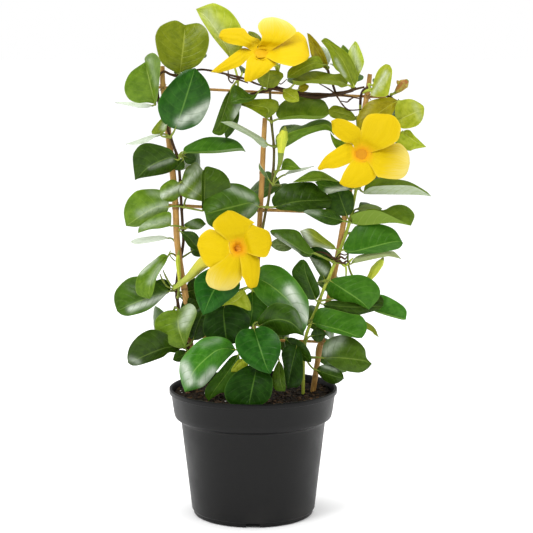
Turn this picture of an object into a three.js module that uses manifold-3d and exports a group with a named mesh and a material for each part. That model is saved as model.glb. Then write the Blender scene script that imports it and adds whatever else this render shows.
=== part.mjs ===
// A potted mandevilla with yellow trumpet flowers, trained on a small bamboo trellis.
// Units are millimetres, +Z is up and the origin is the centre of the pot's flat base.
// -Y is the plant's front, the side that the photograph shows.

import * as THREE from "three";
import Module from "manifold-3d";
import { mergeVertices } from "three/addons/utils/BufferGeometryUtils.js";

const wasm = await Module();
wasm.setup();

// Pot: a 17 cm nursery pot with a band under the lip, a stepped foot and four drain slots in it
const POT = {
  height: 130,
  lipRadius: 85.5,
  lipHeight: 5,
  lipCorner: 0.8,
  bandTopRadius: 83.7,
  bandFootRadius: 80.9,
  bandFootZ: 105.3,
  shoulderRadius: 73.8,
  shoulderZ: 97.3,
  shoulderRise: 3.2,
  shoulderInset: 1.2,
  wallFootRadius: 63,
  wallFootZ: 5,
  footRadius: 61.2,
  footCorner: 1.4,
  wall: 1.9,
  lipWall: 2.6,
  floor: 2.2,
  innerStep: 0.6,
  innerCorner: 1.6,
  sides: 48,
};
const DRAIN = { width: 14, height: 4.5, count: 4, inner: 57, outer: 70 };

// Potting soil: it fills the pot to a little under the lip and is mounded in the middle
const SOIL = {
  top: 120.5,
  rim: 0.4,
  mound: 2.2,
  moundRadius: 62,
  footInset: 4.6,
  footRise: 7,
  wallGap: 0.5,
};

// Touching pieces keep this gap
const GAP = 0.3;

// Trellis: three bamboo canes that fan out, with three thin rungs behind them
const CANE_DEPTH = 100;
const CANE_SIDES = 10;
const RUNG_Y = 13.1;
const RUNG_SIDES = 8;

// Plant: the thin pieces of the leaves and stems
const PETIOLE_RADIUS = 1;
const HUB_RADIUS = 1.8;
const SEAT_GAP = 0.35;
const BLADE_THICKNESS = 1.2;
const PETAL_THICKNESS = 1;
const STEM_SIDES = 6;
const STEM_DEPTH = 26;

// The photograph's camera: places on the plant are read as a pixel column and row with a depth y
const CAMERA = { x: 13.5, y: -1629, z: 473, pitch: 7.67, focal: 1628, centre: 266.5 };

// Trellis pieces: pixel column, pixel row and depth y along each, with the radius
const CANES = [
  {
    "name": "cane_left", "radius": 3.2, "tip": 2.2,
    "path": [[162.5, 66, 8], [163, 85, 8], [168.5, 135, 8], [173, 176, 8], [175.5, 206, 8],
      [177, 240, 8], [181, 270, 8], [186, 300, 8], [190.5, 345, 8], [195, 391, 8]],
  },
  {
    "name": "cane_middle", "radius": 2.7, "tip": 2.4,
    "path": [[265, 118, 8.5], [264, 135, 8.5], [263, 155, 8.5], [262, 178, 8.5], [260.5, 207, 8.5],
      [257, 270, 8.5], [253.5, 330, 8.5], [250, 391, 8.5]],
  },
  {
    "name": "cane_right", "radius": 2.9, "tip": 2.3,
    "path": [[370, 74, 8.3], [367, 95, 8.3], [355, 160, 8.3], [343, 226, 8.3], [336, 265, 8.3],
      [328, 303, 8.3], [321, 340, 8.3], [313, 391, 8.3]],
  },
];
const RUNGS = [
  { "name": "rung_upper", "radius": 1.35, "ends": [[150, 87], [386, 97.5]] },
  { "name": "rung_middle", "radius": 1.7, "ends": [[146, 204.5], [351, 213.5]] },
  { "name": "rung_lower", "radius": 1.5, "ends": [[178, 336], [332, 342.5]] },
];

// Stems: pixel column, pixel row, depth y and radius along each run, from the soil up
const VINES = [
  {
    "name": "left_vine",
    "runs": [
      [[191, 396, 5, 1.6], [190, 380, 4, 1.6], [187, 347, 3.6, 1.6], [180.5, 322, 7, 1.6],
        [177.8, 303, 9, 1.6], [176.5, 288, 11, 1.6], [178.2, 271, 14, 1.6], [181.2, 256, 14.3, 1.6],
        [183.4, 241, 11.5, 1.5], [182.6, 225, 8.5, 1.5], [181.4, 205, 8, 1.5], [179.8, 177, 8, 1.5],
        [178.5, 165, 7.5, 1.5], [176.5, 154, 5.5, 1.5], [174, 147, 3.2, 1.4], [170.5, 137, 1.9, 1.4],
        [165.5, 124, 2.2, 1.4], [160.5, 110, 5.4, 1.4], [158, 96, 7, 1.4], [157.6, 85, 7, 1.3],
        [158.8, 76, 3.6, 1.3], [164, 71.5, 2, 1.3], [171, 74.5, 2.4, 1.3], [180, 75.5, 4, 1.2],
        [197, 70, 5, 1.1], [210, 70.5, 5, 1.1], [230, 75, 4, 1.1], [245, 79, 2, 1.1],
        [257, 84, 0.5, 1.0], [267, 87, 0.3, 0.8]],
    ],
  },
  {
    "name": "middle_vine",
    "runs": [
      [[264, 396, 2, 1.5], [263.5, 345, 1, 1.5], [263.5, 311, 1, 1.5], [258, 298, 1.5, 1.4],
        [252.5, 288, 2.8, 1.4], [253, 270, 2.8, 1.4], [258, 245, 2.8, 1.4], [262.5, 229, 3, 1.4],
        [266, 210, 4.5, 1.4], [268, 203, 5, 1.4], [271, 183, 6, 1.4], [273, 175, 6, 1.4],
        [274, 150, 6, 1.3], [272, 128, 6, 1.3], [270.5, 110, 6, 1.3], [270, 90, 5, 1.3]],
      [[249, 94.5, 6, 1.0], [262, 91.5, 5, 1.5], [270, 89.5, 5, 1.7], [276, 88, 5, 1.7],
        [290, 91, 5, 1.7], [305, 93.5, 5, 1.7], [320, 95, 5, 1.9], [335, 95, 5, 1.7],
        [350, 91, 4, 1.5], [356, 88, 3, 1.1]],
      [[336, 94.5, 5, 1.3], [332, 82, 4, 1.2], [327.6, 69.7, 2.9, 1.0]],
      [[263.5, 352, 1, 1.3], [254, 350, -9, 1.2], [242, 349.5, -20, 1.1]],
      [[263.5, 366, 1, 1.3], [265, 363, -11, 1.2], [267, 361, -23, 1.1]],
    ],
  },
  {
    "name": "right_vine",
    "runs": [
      [[303, 396, 3, 1.7], [304.5, 345, 2, 1.7], [311, 322, 2.5, 1.7], [316, 310, 2.8, 1.7],
        [323, 291, 2.6, 1.7], [328, 280, 2.4, 1.7], [332, 270, 2.2, 1.6], [338, 255, 2.2, 1.6],
        [343.8, 240, 3, 1.6], [349.5, 222, 6, 1.6], [356, 190, 8.5, 1.5], [360, 165, 10.5, 1.5],
        [361.5, 140, 13.6, 1.5], [360.3, 120, 14.2, 1.4], [360.3, 107, 13, 1.4], [360.6, 99, 8.8, 1.4],
        [362.5, 91.5, 3.6, 1.4], [368, 88, 2.4, 1.4], [373.5, 90.5, 5, 1.3], [381, 93.5, 7, 1.2],
        [392, 98.5, 7, 1.2], [399, 107, 7, 1.1], [400, 119, 7, 1.1], [398.5, 137, 7, 0.9]],
    ],
  },
];

// A leaf's base and tip are pixel column, pixel row and depth y. Width is in millimetres. Roll turns
// the upper face from the front towards the sky (or to the right on an upright leaf), fold raises
// its two halves, both in degrees, and arch is how far the midrib bows, in millimetres.
function leaf(base, tip, width, roll, fold, arch, tone) {
  return { base, tip, width, roll, fold, arch, tone };
}

// Leaves, in groups that leave a stem at one node. A group's "at" is the node's pixel column and
// row, and "seat" says which side of the stem it sits on.
const LEAF_GROUPS = [
  {"name": "leaves_left_01", "vine": "left_vine", "at": [176, 75], "seat": [0, 0, 1], "leaves": [
    leaf([180, 73, 1], [187, 24, 12], 54, 0, 10, 6, "olive"),
    leaf([180, 71, 14], [194, 60, 60], 42, 60, 12, 6, "mid"),
  ]},
  {"name": "leaves_left_02", "vine": "left_vine", "at": [158.5, 100], "seat": [-1, 0, 0], "leaves": [
    leaf([155, 104, -2], [145, 62, -12], 44, -37, 26, 4, "mid"),
    leaf([153, 106, 12], [115, 102.5, 36], 34, 84, 8, 4, "grey"),
  ]},
  {"name": "leaves_left_03", "vine": "left_vine", "at": [170.5, 137], "seat": [0, -1, 0], "leaves": [
    leaf([175, 129, -5], [195, 68, -16], 49, 0, 8, 5, "dark"),
    leaf([162, 134, -2], [126, 144, 14], 30, 84, 8, 3, "grey"),
    leaf([161, 133, -3], [169.5, 112, -5], 12, 20, 8, 1, "grey"),
  ]},
  {"name": "leaves_left_04", "vine": "left_vine", "at": [177, 156], "seat": [0.7, -0.7, 0], "leaves": [
    leaf([178, 160, -3], [135, 180, -12], 38, 15, 12, 5, "dark"),
    leaf([183, 152, 1], [245.5, 151.5, -8], 36, 60, 8, 6, "mid"),
    leaf([186, 160, 18], [200, 172, 62], 38, 50, 12, 6, "mid"),
  ]},
  {"name": "leaves_left_05", "vine": "left_vine", "at": [180, 182], "seat": [0.7, -0.7, 0], "leaves": [
    leaf([184, 183, 1], [213, 203, 12], 38, 0, 10, 4, "glossy"),
    leaf([178, 184, -2], [163, 200, -9], 27, 0, 14, 3, "glossy"),
  ]},
  {"name": "leaves_left_06", "vine": "left_vine", "at": [181.5, 207], "seat": [0.7, -0.7, 0], "leaves": [
    leaf([169, 207, 2], [126, 226, 16], 38, 10, 10, 5, "grey"),
    leaf([203, 214, -1], [214, 166, -2], 34, 0, 8, 4, "dark"),
    leaf([188, 197, 20], [214, 192, 66], 44, 60, 12, 6, "mid"),
  ]},
  {"name": "leaves_left_07", "vine": "left_vine", "at": [182.7, 228], "seat": [0.7, -0.7, 0], "leaves": [
    leaf([171, 226, -4], [138, 229, -14], 24, 35, 8, 3, "mid"),
    leaf([180, 231, -3], [200, 251, -9], 16, 0, 18, 2, "dark"),
    leaf([187, 228, 5], [206, 224, 8], 20, 40, 8, 2, "mid"),
  ]},
  {"name": "leaves_left_08", "vine": "left_vine", "at": [180.5, 260], "seat": [-0.3, 0.95, 0], "leaves": [
    leaf([169, 256, 2], [150, 299, -8], 26, 0, 20, 5, "mid"),
    leaf([191, 252, 18], [207, 243, 9], 20, 20, 8, 2, "dark"),
    leaf([168, 246, 24], [130, 241, 36], 28, 84, 8, 3, "grey"),
  ]},
  {"name": "leaves_left_09", "vine": "left_vine", "at": [176.8, 291], "seat": [-0.7, 0.7, 0], "leaves": [
    leaf([170, 291, 5], [118, 311, 4], 40, 5, 8, 6, "mid"),
    leaf([186, 292, 20], [206, 286, 34], 26, 20, 8, 3, "dark"),
    leaf([184, 298, 22], [192, 322, 68], 44, 40, 12, 6, "mid"),
  ]},
  {"name": "leaves_left_10", "vine": "left_vine", "at": [178.3, 307], "seat": [-0.8, -0.6, 0], "leaves": [
    leaf([178, 310, -1], [185.5, 348, -12], 46, 0, 27, 4, "glossy"),
    leaf([168, 318, 14], [156, 332, 56], 42, 50, 12, 6, "mid"),
  ]},
  {"name": "leaves_left_11", "vine": "left_vine", "at": [187, 348], "seat": [-0.7, -0.7, 0], "leaves": [
    leaf([181, 348, -3], [128, 363, -14], 34, 15, 10, 5, "dark"),
    leaf([187, 352, -4], [173, 360, -9], 12, 0, 8, 1, "dark"),
    leaf([193, 340, -3], [205, 308, -4], 28, 10, 8, 3, "dark"),
  ]},
  {"name": "leaves_top_01", "vine": "left_vine", "at": [238, 77], "seat": [0, 0.3, -0.95], "leaves": [
    leaf([231, 89, 2], [212, 132, -2], 32, 0, 12, 4, "dark"),
    leaf([230, 56, 16], [196, 9, 32], 33, 0, 12, 5, "lime"),
    leaf([236, 102, 8], [226, 138, 6], 13, 0, 8, 2, "mid"),
    leaf([240, 80, 20], [226, 88, 62], 38, 65, 12, 5, "mid"),
  ]},
  {"name": "leaves_top_02", "vine": "middle_vine", "at": [262, 91.5], "seat": [0, -0.6, 0.8], "leaves": [
    leaf([267, 88, -2], [270, 70, -8], 27, 0, 8, 2, "olive"),
    leaf([259, 91, -3], [231, 102, -13], 22, 20, 8, 5, "dark"),
  ]},
  {"name": "leaves_top_03", "vine": "middle_vine", "at": [290, 91], "seat": [0, -0.8, 0.6], "leaves": [
    leaf([284, 91, -2], [299, 101, -10], 15, 20, 8, 2, "lime"),
    leaf([298, 90, -2], [309, 86, -4], 9, 20, 8, 1, "olive"),
    leaf([294, 86, 16], [306, 74, 58], 40, 60, 12, 5, "mid"),
  ]},
  {"name": "leaves_top_04", "vine": "middle_vine", "at": [328, 71], "seat": [0, 0.2, 1], "leaves": [
    leaf([325, 64, 4], [307, 33, 6], 15, 30, 8, 3, "olive"),
    leaf([324, 65, -2], [287, 78, -9], 18, 30, 8, 4, "olive"),
    leaf([329, 62, 8], [325, 44, 12], 14, 0, 8, 2, "grey"),
  ]},
  {"name": "leaves_top_05", "vine": "middle_vine", "at": [352, 90], "seat": [0, -0.4, 0.9], "leaves": [
    leaf([347, 85, -2], [292, 80, -10], 20, 48, 8, 5, "mid"),
    leaf([352, 84, -2], [321, 41, -5], 25, 0, 15, 4, "mid"),
    leaf([356, 81, 1], [355, 41, 2], 17, 0, 15, 3, "lime"),
    leaf([352, 80, 9], [343, 45, 13], 16, 0, 8, 3, "mid"),
    leaf([350, 82, 18], [341, 70, 64], 38, 55, 12, 6, "mid"),
  ]},
  {"name": "leaves_middle_01", "vine": "middle_vine", "at": [271.5, 122], "seat": [0, -1, 0], "leaves": [
    leaf([267, 119, 0], [231, 104, -5], 20, 15, 8, 4, "olive"),
    leaf([279, 119, 0], [329, 110, -4], 26, 25, 8, 5, "mid"),
  ]},
  {"name": "leaves_middle_02", "vine": "middle_vine", "at": [273.7, 146], "seat": [0.6, -0.8, 0],
    "leaves": [
    leaf([267, 142, -5], [221, 122, -20], 24, 84, 8, 4, "grey"),
    leaf([282, 144, 3], [334, 130, 4], 24, 45, 8, 5, "dark"),
    leaf([282, 138, 20], [296, 126, 62], 40, 55, 12, 6, "mid"),
  ]},
  {"name": "leaves_middle_03", "vine": "middle_vine", "at": [270.5, 185], "seat": [0.6, -0.8, 0],
    "leaves": [
    leaf([269, 180, 0], [259, 163, -5], 15, 60, 8, 2, "dark"),
    leaf([282, 173, -1], [301, 169, -5], 10, 20, 8, 1, "mid"),
    leaf([284, 175, 6], [314, 166, 12], 20, 84, 8, 3, "grey"),
    leaf([280, 186, 20], [246, 196, 64], 42, 55, 12, 6, "mid"),
  ]},
  {"name": "leaves_middle_04", "vine": "middle_vine", "at": [266.8, 207], "seat": [0, -1, 0], "leaves": [
    leaf([259, 207, -3], [205, 214, -13], 42, 15, 10, 6, "dark"),
    leaf([274, 207, -3], [333, 199, -3], 34, 20, 10, 6, "dark"),
    leaf([280, 206, 20], [306, 196, 68], 44, 50, 12, 6, "mid"),
  ]},
  {"name": "leaves_front_01", "vine": "middle_vine", "at": [253, 275], "seat": [0, -1, 0], "leaves": [
    leaf([229, 268, -18], [203, 314, -34], 44, 0, 10, 5, "vivid"),
    leaf([255, 277, -8], [304, 332, -38], 43, 5, 10, 8, "vivid"),
  ]},
  {"name": "leaves_front_02", "vine": "middle_vine", "at": [261, 304], "seat": [0.8, -0.6, 0], "leaves": [
    leaf([249, 296, -8], [222, 306, -20], 22, 0, 8, 3, "lime"),
    leaf([253, 298, -10], [249, 325, -23], 26, 0, 8, 3, "mid"),
    leaf([274, 296, 22], [284, 294, 70], 44, 65, 12, 6, "mid"),
  ]},
  {"name": "leaves_front_03", "vine": "middle_vine", "at": [263.5, 322], "seat": [0.8, -0.6, 0], "leaves": [
    leaf([254, 329, -30], [270.5, 374, -54], 42, 0, 12, 6, "vivid"),
    leaf([259, 326, -20], [304, 336, -28], 34, 10, 8, 7, "dark"),
    leaf([276, 336, 24], [288, 350, 68], 46, 62, 12, 6, "mid"),
  ]},
  {"name": "leaves_front_04", "vine": "middle_vine", "at": [243, 349.5], "seat": [-0.8, -0.5, 0.3],
    "leaves": [
    leaf([236, 350, -27], [185, 392, -50], 42, 10, 8, 9, "glossy"),
    leaf([239, 354, -24], [209, 398, -40], 24, 0, 8, 4, "mid"),
    leaf([244, 358, -27], [231, 372, -35], 15, 0, 8, 2, "lime"),
  ]},
  {"name": "leaves_front_05", "vine": "middle_vine", "at": [266.5, 361.5], "seat": [0, 0, 1], "leaves": [
    leaf([257, 366, -34], [249, 403, -60], 47, 0, 10, 6, "vivid"),
    leaf([279, 360, -30], [284, 391, -50], 15, 0, 14, 3, "olive"),
  ]},
  {"name": "leaves_front_06", "vine": "middle_vine", "at": [252.7, 287], "seat": [-1, 0, 0], "leaves": [
    leaf([228, 300, -6], [226, 346, -18], 50, 0, 8, 5, "dark"),
    leaf([240, 294, 22], [228, 318, 70], 46, 40, 12, 6, "mid"),
  ]},
  {"name": "leaves_right_01", "vine": "right_vine", "at": [369, 88.2], "seat": [0, -0.3, 0.95], "leaves": [
    leaf([375, 84, 0], [391, 66, -5], 27, 0, 14, 3, "lime"),
    leaf([376, 84, 14], [386, 76, 58], 40, 60, 12, 6, "mid"),
  ]},
  {"name": "leaves_right_02", "vine": "right_vine", "at": [399.5, 111], "seat": [0.5, -0.85, 0], "leaves": [
    leaf([402, 103, 2], [359, 130, -3], 32, 5, 6, 3, "olive"),
    leaf([402, 117, 2], [424, 109, -9], 30, 5, 8, 3, "lime"),
    leaf([403, 114, 14], [392, 118, 58], 36, 50, 12, 5, "mid"),
  ]},
  {"name": "leaves_right_03", "vine": "right_vine", "at": [398.7, 134], "seat": [0.8, 0.6, 0], "leaves": [
    leaf([403, 139, 8], [428, 147, 2], 24, 10, 10, 3, "lime"),
    leaf([396, 142, 16], [402, 152, 52], 34, 55, 12, 5, "mid"),
  ]},
  {"name": "leaves_right_04", "vine": "right_vine", "at": [360.2, 118], "seat": [-1, 0, 0], "leaves": [
    leaf([355, 115, 4], [328, 117, -3], 16, 0, 8, 2, "lime"),
    leaf([350, 136, 9], [328, 143, 3], 22, 0, 8, 2, "dark"),
  ]},
  {"name": "leaves_right_05", "vine": "right_vine", "at": [356.4, 188], "seat": [0.7, -0.7, 0], "leaves": [
    leaf([363, 197, 3], [431, 196, -3], 34, 52, 8, 5, "mid"),
    leaf([343, 184, 0], [298, 181, -9], 24, 35, 8, 4, "mid"),
    leaf([364, 184, 18], [380, 176, 64], 42, 50, 12, 6, "mid"),
  ]},
  {"name": "leaves_right_06", "vine": "right_vine", "at": [349.3, 222.5], "seat": [0.7, -0.7, 0],
    "leaves": [
    leaf([354, 220, 0], [411, 222, -4], 38, 45, 8, 5, "mid"),
    leaf([342, 222, -7], [310, 204, -22], 24, 10, 8, 4, "dark"),
    leaf([347, 216, 0], [340, 190, -1], 20, 0, 8, 2, "dark"),
    leaf([361, 210, 20], [380, 204, 62], 38, 60, 12, 6, "mid"),
  ]},
  {"name": "leaves_right_07", "vine": "right_vine", "at": [340, 250], "seat": [0, -1, 0], "leaves": [
    leaf([345, 250, -2], [403, 243, -8], 32, 10, 10, 5, "vivid"),
    leaf([336, 249, -3], [300, 231, -10], 20, 25, 8, 4, "olive"),
  ]},
  {"name": "leaves_right_08", "vine": "right_vine", "at": [335, 262], "seat": [-0.7, -0.7, 0], "leaves": [
    leaf([313, 255, -4], [270, 233, -15], 24, 10, 8, 4, "dark"),
    leaf([349, 265, 0], [401.5, 259, 6], 20, 62, 8, 4, "olive"),
  ]},
  {"name": "leaves_right_09", "vine": "right_vine", "at": [327.5, 281], "seat": [-0.9, -0.4, 0], "leaves": [
    leaf([332, 282, -3], [370, 308, -12], 38, 0, 20, 4, "mid"),
    leaf([322, 281, 5], [306, 254, 12], 26, 0, 8, 3, "grey"),
    leaf([318, 284, 20], [346, 294, 68], 44, 60, 12, 6, "mid"),
  ]},
  {"name": "leaves_right_10", "vine": "right_vine", "at": [319.5, 300], "seat": [0, -1, 0], "leaves": [
    leaf([316, 300, -3], [303, 258, -8], 26, 0, 10, 4, "olive"),
    leaf([327, 303, -1], [383, 309, 2], 30, 30, 8, 5, "dark"),
    leaf([370, 302, 12], [406, 318, 10], 24, 15, 10, 3, "mid"),
  ]},
  {"name": "leaves_right_11", "vine": "right_vine", "at": [311.5, 320.5], "seat": [-0.7, -0.7, 0],
    "leaves": [
    leaf([315, 323, -6], [363, 337, -14], 28, 15, 10, 5, "mid"),
    leaf([340, 318, 0], [379, 336, 10], 18, 0, 10, 3, "olive"),
    leaf([304, 322, 20], [334, 330, 70], 42, 60, 12, 6, "mid"),
  ]},
  {"name": "leaves_right_12", "vine": "right_vine", "at": [304.5, 345], "seat": [0, -1, 0], "leaves": [
    leaf([299, 346, -12], [287, 389, -34], 24, 10, 8, 4, "dark"),
    leaf([311, 336, -1], [326, 334, -1], 15, 0, 8, 1, "dark"),
  ]},
  {"name": "leaves_right_13", "vine": "right_vine", "at": [304, 356], "seat": [0.3, -0.95, 0], "leaves": [
    leaf([323, 358, -5], [372, 364, -11], 37, 5, 8, 5, "dark"),
    leaf([316, 370, -6], [346, 383, -12], 18, 5, 8, 3, "dark"),
    leaf([316, 358, 20], [344, 354, 70], 44, 45, 12, 6, "mid"),
  ]},
];

// A petal's tip is pixel column, pixel row and depth y, with its width and how far it bows
function petal(tip, width, arch) {
  return { tip, width, arch };
}

// Flowers: the tube runs from the calyx to the throat as pixel column, row, depth y and radius,
// and "faces" is the way that the open flower looks
const FLOWERS = [
  {
    "name": "flower_top", "stalk": "flower_stalk_top",
    "vine": "middle_vine", "at": [276.5, 88], "seat": [0, 0, 1],
    "tube": [[277, 66, -3, 2.4], [273, 62, -6, 4.2], [267, 57, -9, 6.5], [261, 53, -12, 9]],
    "faces": [0, -0.5, 0.87],
    "stalk_path": [[278, 75, 2, 1.3], [277.4, 67.4, -2.2, 2.4]],
    "petals": [
      petal([218, 37, -6], 34, 5),
      petal([212, 71, -27], 30, 6),
      petal([250, 82, -38], 34, 8),
      petal([308, 55, -17], 42, 6),
      petal([273, 18, 12], 38, 6),
    ],
  },
  {
    "name": "flower_right", "stalk": "flower_stalk_right",
    "vine": "right_vine", "at": [357, 184], "seat": [0, -1, 0],
    "tube": [[359, 172, -10, 2.4], [360, 166, -16, 4.2], [361, 159, -24, 6.5], [362, 153.5, -32, 9]],
    "faces": [0, -0.85, 0.52],
    "stalk_path": [[357.5, 178, 0, 1.3], [358.6, 174.6, -7.4, 2.2], [358.95, 172.3, -9.7, 2.4]],
    "petals": [
      petal([333, 126, -26], 28, 4),
      petal([383, 115, -22], 42, 5),
      petal([408, 162, -30], 42, 5),
      petal([353, 187, -44], 40, 5),
      petal([319, 169, -38], 30, 5),
    ],
  },
  {
    "name": "flower_low", "stalk": "flower_stalk_low",
    "vine": "left_vine", "at": [176.5, 285], "seat": [-0.6, -0.8, 0],
    "tube": [[179, 284.5, -12, 2.3], [190, 276, -17, 4], [204, 262, -25, 6.5], [222, 252, -33, 8],
      [238, 247, -39, 9]],
    "faces": [0.15, -0.93, 0.32],
    "stalk_path": [[173.5, 288, 0, 1.3], [175.2, 287.4, -8, 1.8], [176.8, 286.2, -11, 2.2],
      [178.7, 284.75, -11.85, 2.3]],
    "petals": [
      petal([228, 212, -33], 38, 4),
      petal([270, 243, -38], 30, 5),
      petal([253, 287, -46], 26, 4),
      petal([221, 290, -46], 42, 5),
      petal([199, 247, -35], 38, 5),
    ],
  },
];

// Buds: pixel column, row, depth y and radius from the stem to the tip
const BUDS = [
  {
    "name": "bud_middle", "vine": "middle_vine", "at": [273.3, 172], "seat": [0.5, -0.85, 0],
    "path": [[278, 170, -4, 1.4], [280.5, 162, -8, 2.6], [282, 151, -10, 3.4], [282.5, 139, -10, 5.4],
      [284, 132, -10, 3.6], [285.5, 126.5, -10, 0.8]],
  },
  {
    "name": "bud_left", "vine": "left_vine", "at": [177.3, 297], "seat": [0.3, -0.95, 0],
    "path": [[178.5, 292, 1, 1.1], [179.5, 283, 0, 1.5], [178.5, 270, -1, 2.0], [178, 260, -1.5, 2.3],
      [179, 250, -2, 0.5]],
  },
  {
    "name": "bud_right", "vine": "right_vine", "at": [346.6, 233], "seat": [1, 0, 0],
    "path": [[352, 244, 8, 1.0], [354, 262, 14, 1.1], [362, 279, 16, 1.4], [369, 279, 14, 2.6],
      [375, 271, 12, 4.2], [380, 264, 11, 4.0], [384, 257, 10, 0.8]],
  },
  {
    "name": "bud_cluster_top", "vine": "right_vine", "at": [391, 98], "seat": [0, 0, 1],
    "path": [[395, 93, 6, 1.4], [399, 89, 5, 3.6], [404, 84, 4, 5.2], [408, 80, 3, 1.4]],
  },
];

const COLOURS = {
  pot: 0x323234,
  soil: 0x2a1c12,
  bamboo: 0xbe914b,
  stem: 0x50501e,
  petal: 0xf5d414,
  stalk: 0x8a9a30,
  olive: 0x788228,
  lime: 0xa0b432,
  mid: 0x3c781e,
  vivid: 0x236e28,
  dark: 0x2d5514,
  glossy: 0x3c6e32,
  grey: 0x6e8264,
};

const pitch = THREE.MathUtils.degToRad(CAMERA.pitch);

// The point at a photograph pixel, at depth y
function place([u, v, y]) {
  const across = (u - CAMERA.centre) / CAMERA.focal;
  const up = (CAMERA.centre - v) / CAMERA.focal;
  const forward = Math.cos(pitch) + up * Math.sin(pitch);
  const reach = (y - CAMERA.y) / forward;
  const rise = -Math.sin(pitch) + up * Math.cos(pitch);
  return new THREE.Vector3(CAMERA.x + reach * across, y, CAMERA.z + reach * rise);
}

function material(colour, roughness) {
  return new THREE.MeshStandardMaterial({ color: colour, roughness, metalness: 0 });
}

function solidFromArrays(positions, triangles) {
  const mesh = new wasm.Mesh({
    numProp: 3,
    vertProperties: Float32Array.from(positions),
    triVerts: Uint32Array.from(triangles),
  });
  return new wasm.Manifold(mesh);
}

// A closed loft through rings that all have the same number of points
function loft(rings) {
  const count = rings[0].length;
  const positions = rings.flat().flatMap((point) => [point.x, point.y, point.z]);
  const triangles = [];
  for (let ring = 0; ring < rings.length - 1; ring += 1) {
    for (let corner = 0; corner < count; corner += 1) {
      const a = ring * count + corner;
      const b = ring * count + (corner + 1) % count;
      triangles.push(a, b, b + count, a, b + count, a + count);
    }
  }
  const last = (rings.length - 1) * count;
  for (let corner = 1; corner < count - 1; corner += 1) {
    triangles.push(0, corner + 1, corner);
    triangles.push(last, last + corner, last + corner + 1);
  }
  const solid = solidFromArrays(positions, triangles);
  return solid.volume() > 0 ? solid : solidFromArrays(positions, triangles.reverse());
}

function solidFromGeometry(geometry) {
  geometry.deleteAttribute("normal");
  geometry.deleteAttribute("uv");
  const merged = mergeVertices(geometry, 1e-4);
  return solidFromArrays(Array.from(merged.attributes.position.array), Array.from(merged.index.array));
}

function meshFromSolid(name, solid, colour, roughness) {
  const { vertProperties, triVerts } = solid.getMesh();
  const geometry = new THREE.BufferGeometry();
  geometry.setAttribute("position", new THREE.Float32BufferAttribute(vertProperties, 3));
  geometry.setIndex(Array.from(triVerts));
  geometry.computeVertexNormals();
  const mesh = new THREE.Mesh(geometry, material(colour, roughness));
  mesh.name = name;
  return mesh;
}

// Smooth samples of a path whose points are pixel column, row, depth and radius
function samplePath(path, steps) {
  const curve = new THREE.CatmullRomCurve3(path.map(place), false, "catmullrom", 0.5);
  const spans = path.length - 1;
  const samples = [];
  for (let step = 0; step <= spans * steps; step += 1) {
    const along = step / steps;
    const index = Math.min(Math.floor(along), spans - 1);
    const blend = along - index;
    const radius = THREE.MathUtils.lerp(path[index][3], path[index + 1][3], blend);
    samples.push({ point: curve.getPoint(along / spans), radius });
  }
  return samples;
}

// A tube with a radius at each sample, its section turned as little as possible along the way
function tube(samples, sides, grow = 0) {
  const rings = [];
  let across = null;
  samples.forEach(({ point, radius }, index) => {
    const before = samples[Math.max(index - 1, 0)].point;
    const after = samples[Math.min(index + 1, samples.length - 1)].point;
    const along = after.clone().sub(before).normalize();
    if (across === null) {
      const helper = Math.abs(along.y) < 0.9 ? new THREE.Vector3(0, 1, 0) : new THREE.Vector3(1, 0, 0);
      across = helper.cross(along).normalize();
    }
    across.addScaledVector(along, -across.dot(along)).normalize();
    const other = along.clone().cross(across);
    const ring = [];
    for (let side = 0; side < sides; side += 1) {
      const angle = (side / sides) * Math.PI * 2;
      ring.push(point.clone()
        .addScaledVector(across, Math.cos(angle) * (radius + grow))
        .addScaledVector(other, Math.sin(angle) * (radius + grow)));
    }
    rings.push(ring);
  });
  return loft(rings);
}

// Pot
function potOuterProfile() {
  const { lipRadius, height, lipHeight, lipCorner, footRadius, footCorner } = POT;
  return [
    [0, 0],
    [footRadius - footCorner, 0],
    [footRadius, footCorner],
    [footRadius, POT.wallFootZ - footCorner],
    [POT.wallFootRadius, POT.wallFootZ],
    [POT.shoulderRadius, POT.shoulderZ],
    [POT.bandFootRadius - POT.shoulderInset, POT.shoulderZ + POT.shoulderRise],
    [POT.bandFootRadius, POT.bandFootZ],
    [POT.bandTopRadius, height - lipHeight],
    [lipRadius, height - lipHeight],
    [lipRadius, height - lipCorner],
    [lipRadius - lipCorner, height],
  ];
}

// The wall's corners inside the pot, where the band and the shoulder end
function innerBandFoot() {
  return [POT.bandFootRadius - POT.wall, POT.bandFootZ + POT.innerStep];
}

function innerShoulder() {
  return [POT.shoulderRadius - POT.wall, POT.shoulderZ + POT.footCorner];
}

function potInnerProfile() {
  const { height, wall, floor, innerCorner } = POT;
  return [
    [POT.lipRadius - POT.lipWall, height],
    [POT.bandTopRadius - wall, height - POT.lipHeight],
    innerBandFoot(),
    innerShoulder(),
    [POT.wallFootRadius - wall, POT.wallFootZ + wall],
    [POT.footRadius - wall, floor + innerCorner],
    [POT.footRadius - wall - innerCorner, floor],
    [0, floor],
  ];
}

function latheSolid(profile, sides) {
  const points = profile.map(([radius, z]) => new THREE.Vector2(radius, z));
  const geometry = new THREE.LatheGeometry(points, sides);
  geometry.rotateX(Math.PI / 2);
  return solidFromGeometry(geometry);
}

function buildPot() {
  let pot = latheSolid([...potOuterProfile(), ...potInnerProfile()], POT.sides);
  for (let slot = 0; slot < DRAIN.count; slot += 1) {
    const length = DRAIN.outer - DRAIN.inner;
    const box = new THREE.BoxGeometry(length, DRAIN.width, DRAIN.height * 2);
    box.translate((DRAIN.inner + DRAIN.outer) / 2, 0, 0);
    box.rotateZ((slot * 2 * Math.PI) / DRAIN.count);
    pot = pot.subtract(solidFromGeometry(box));
  }
  return pot;
}

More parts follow.
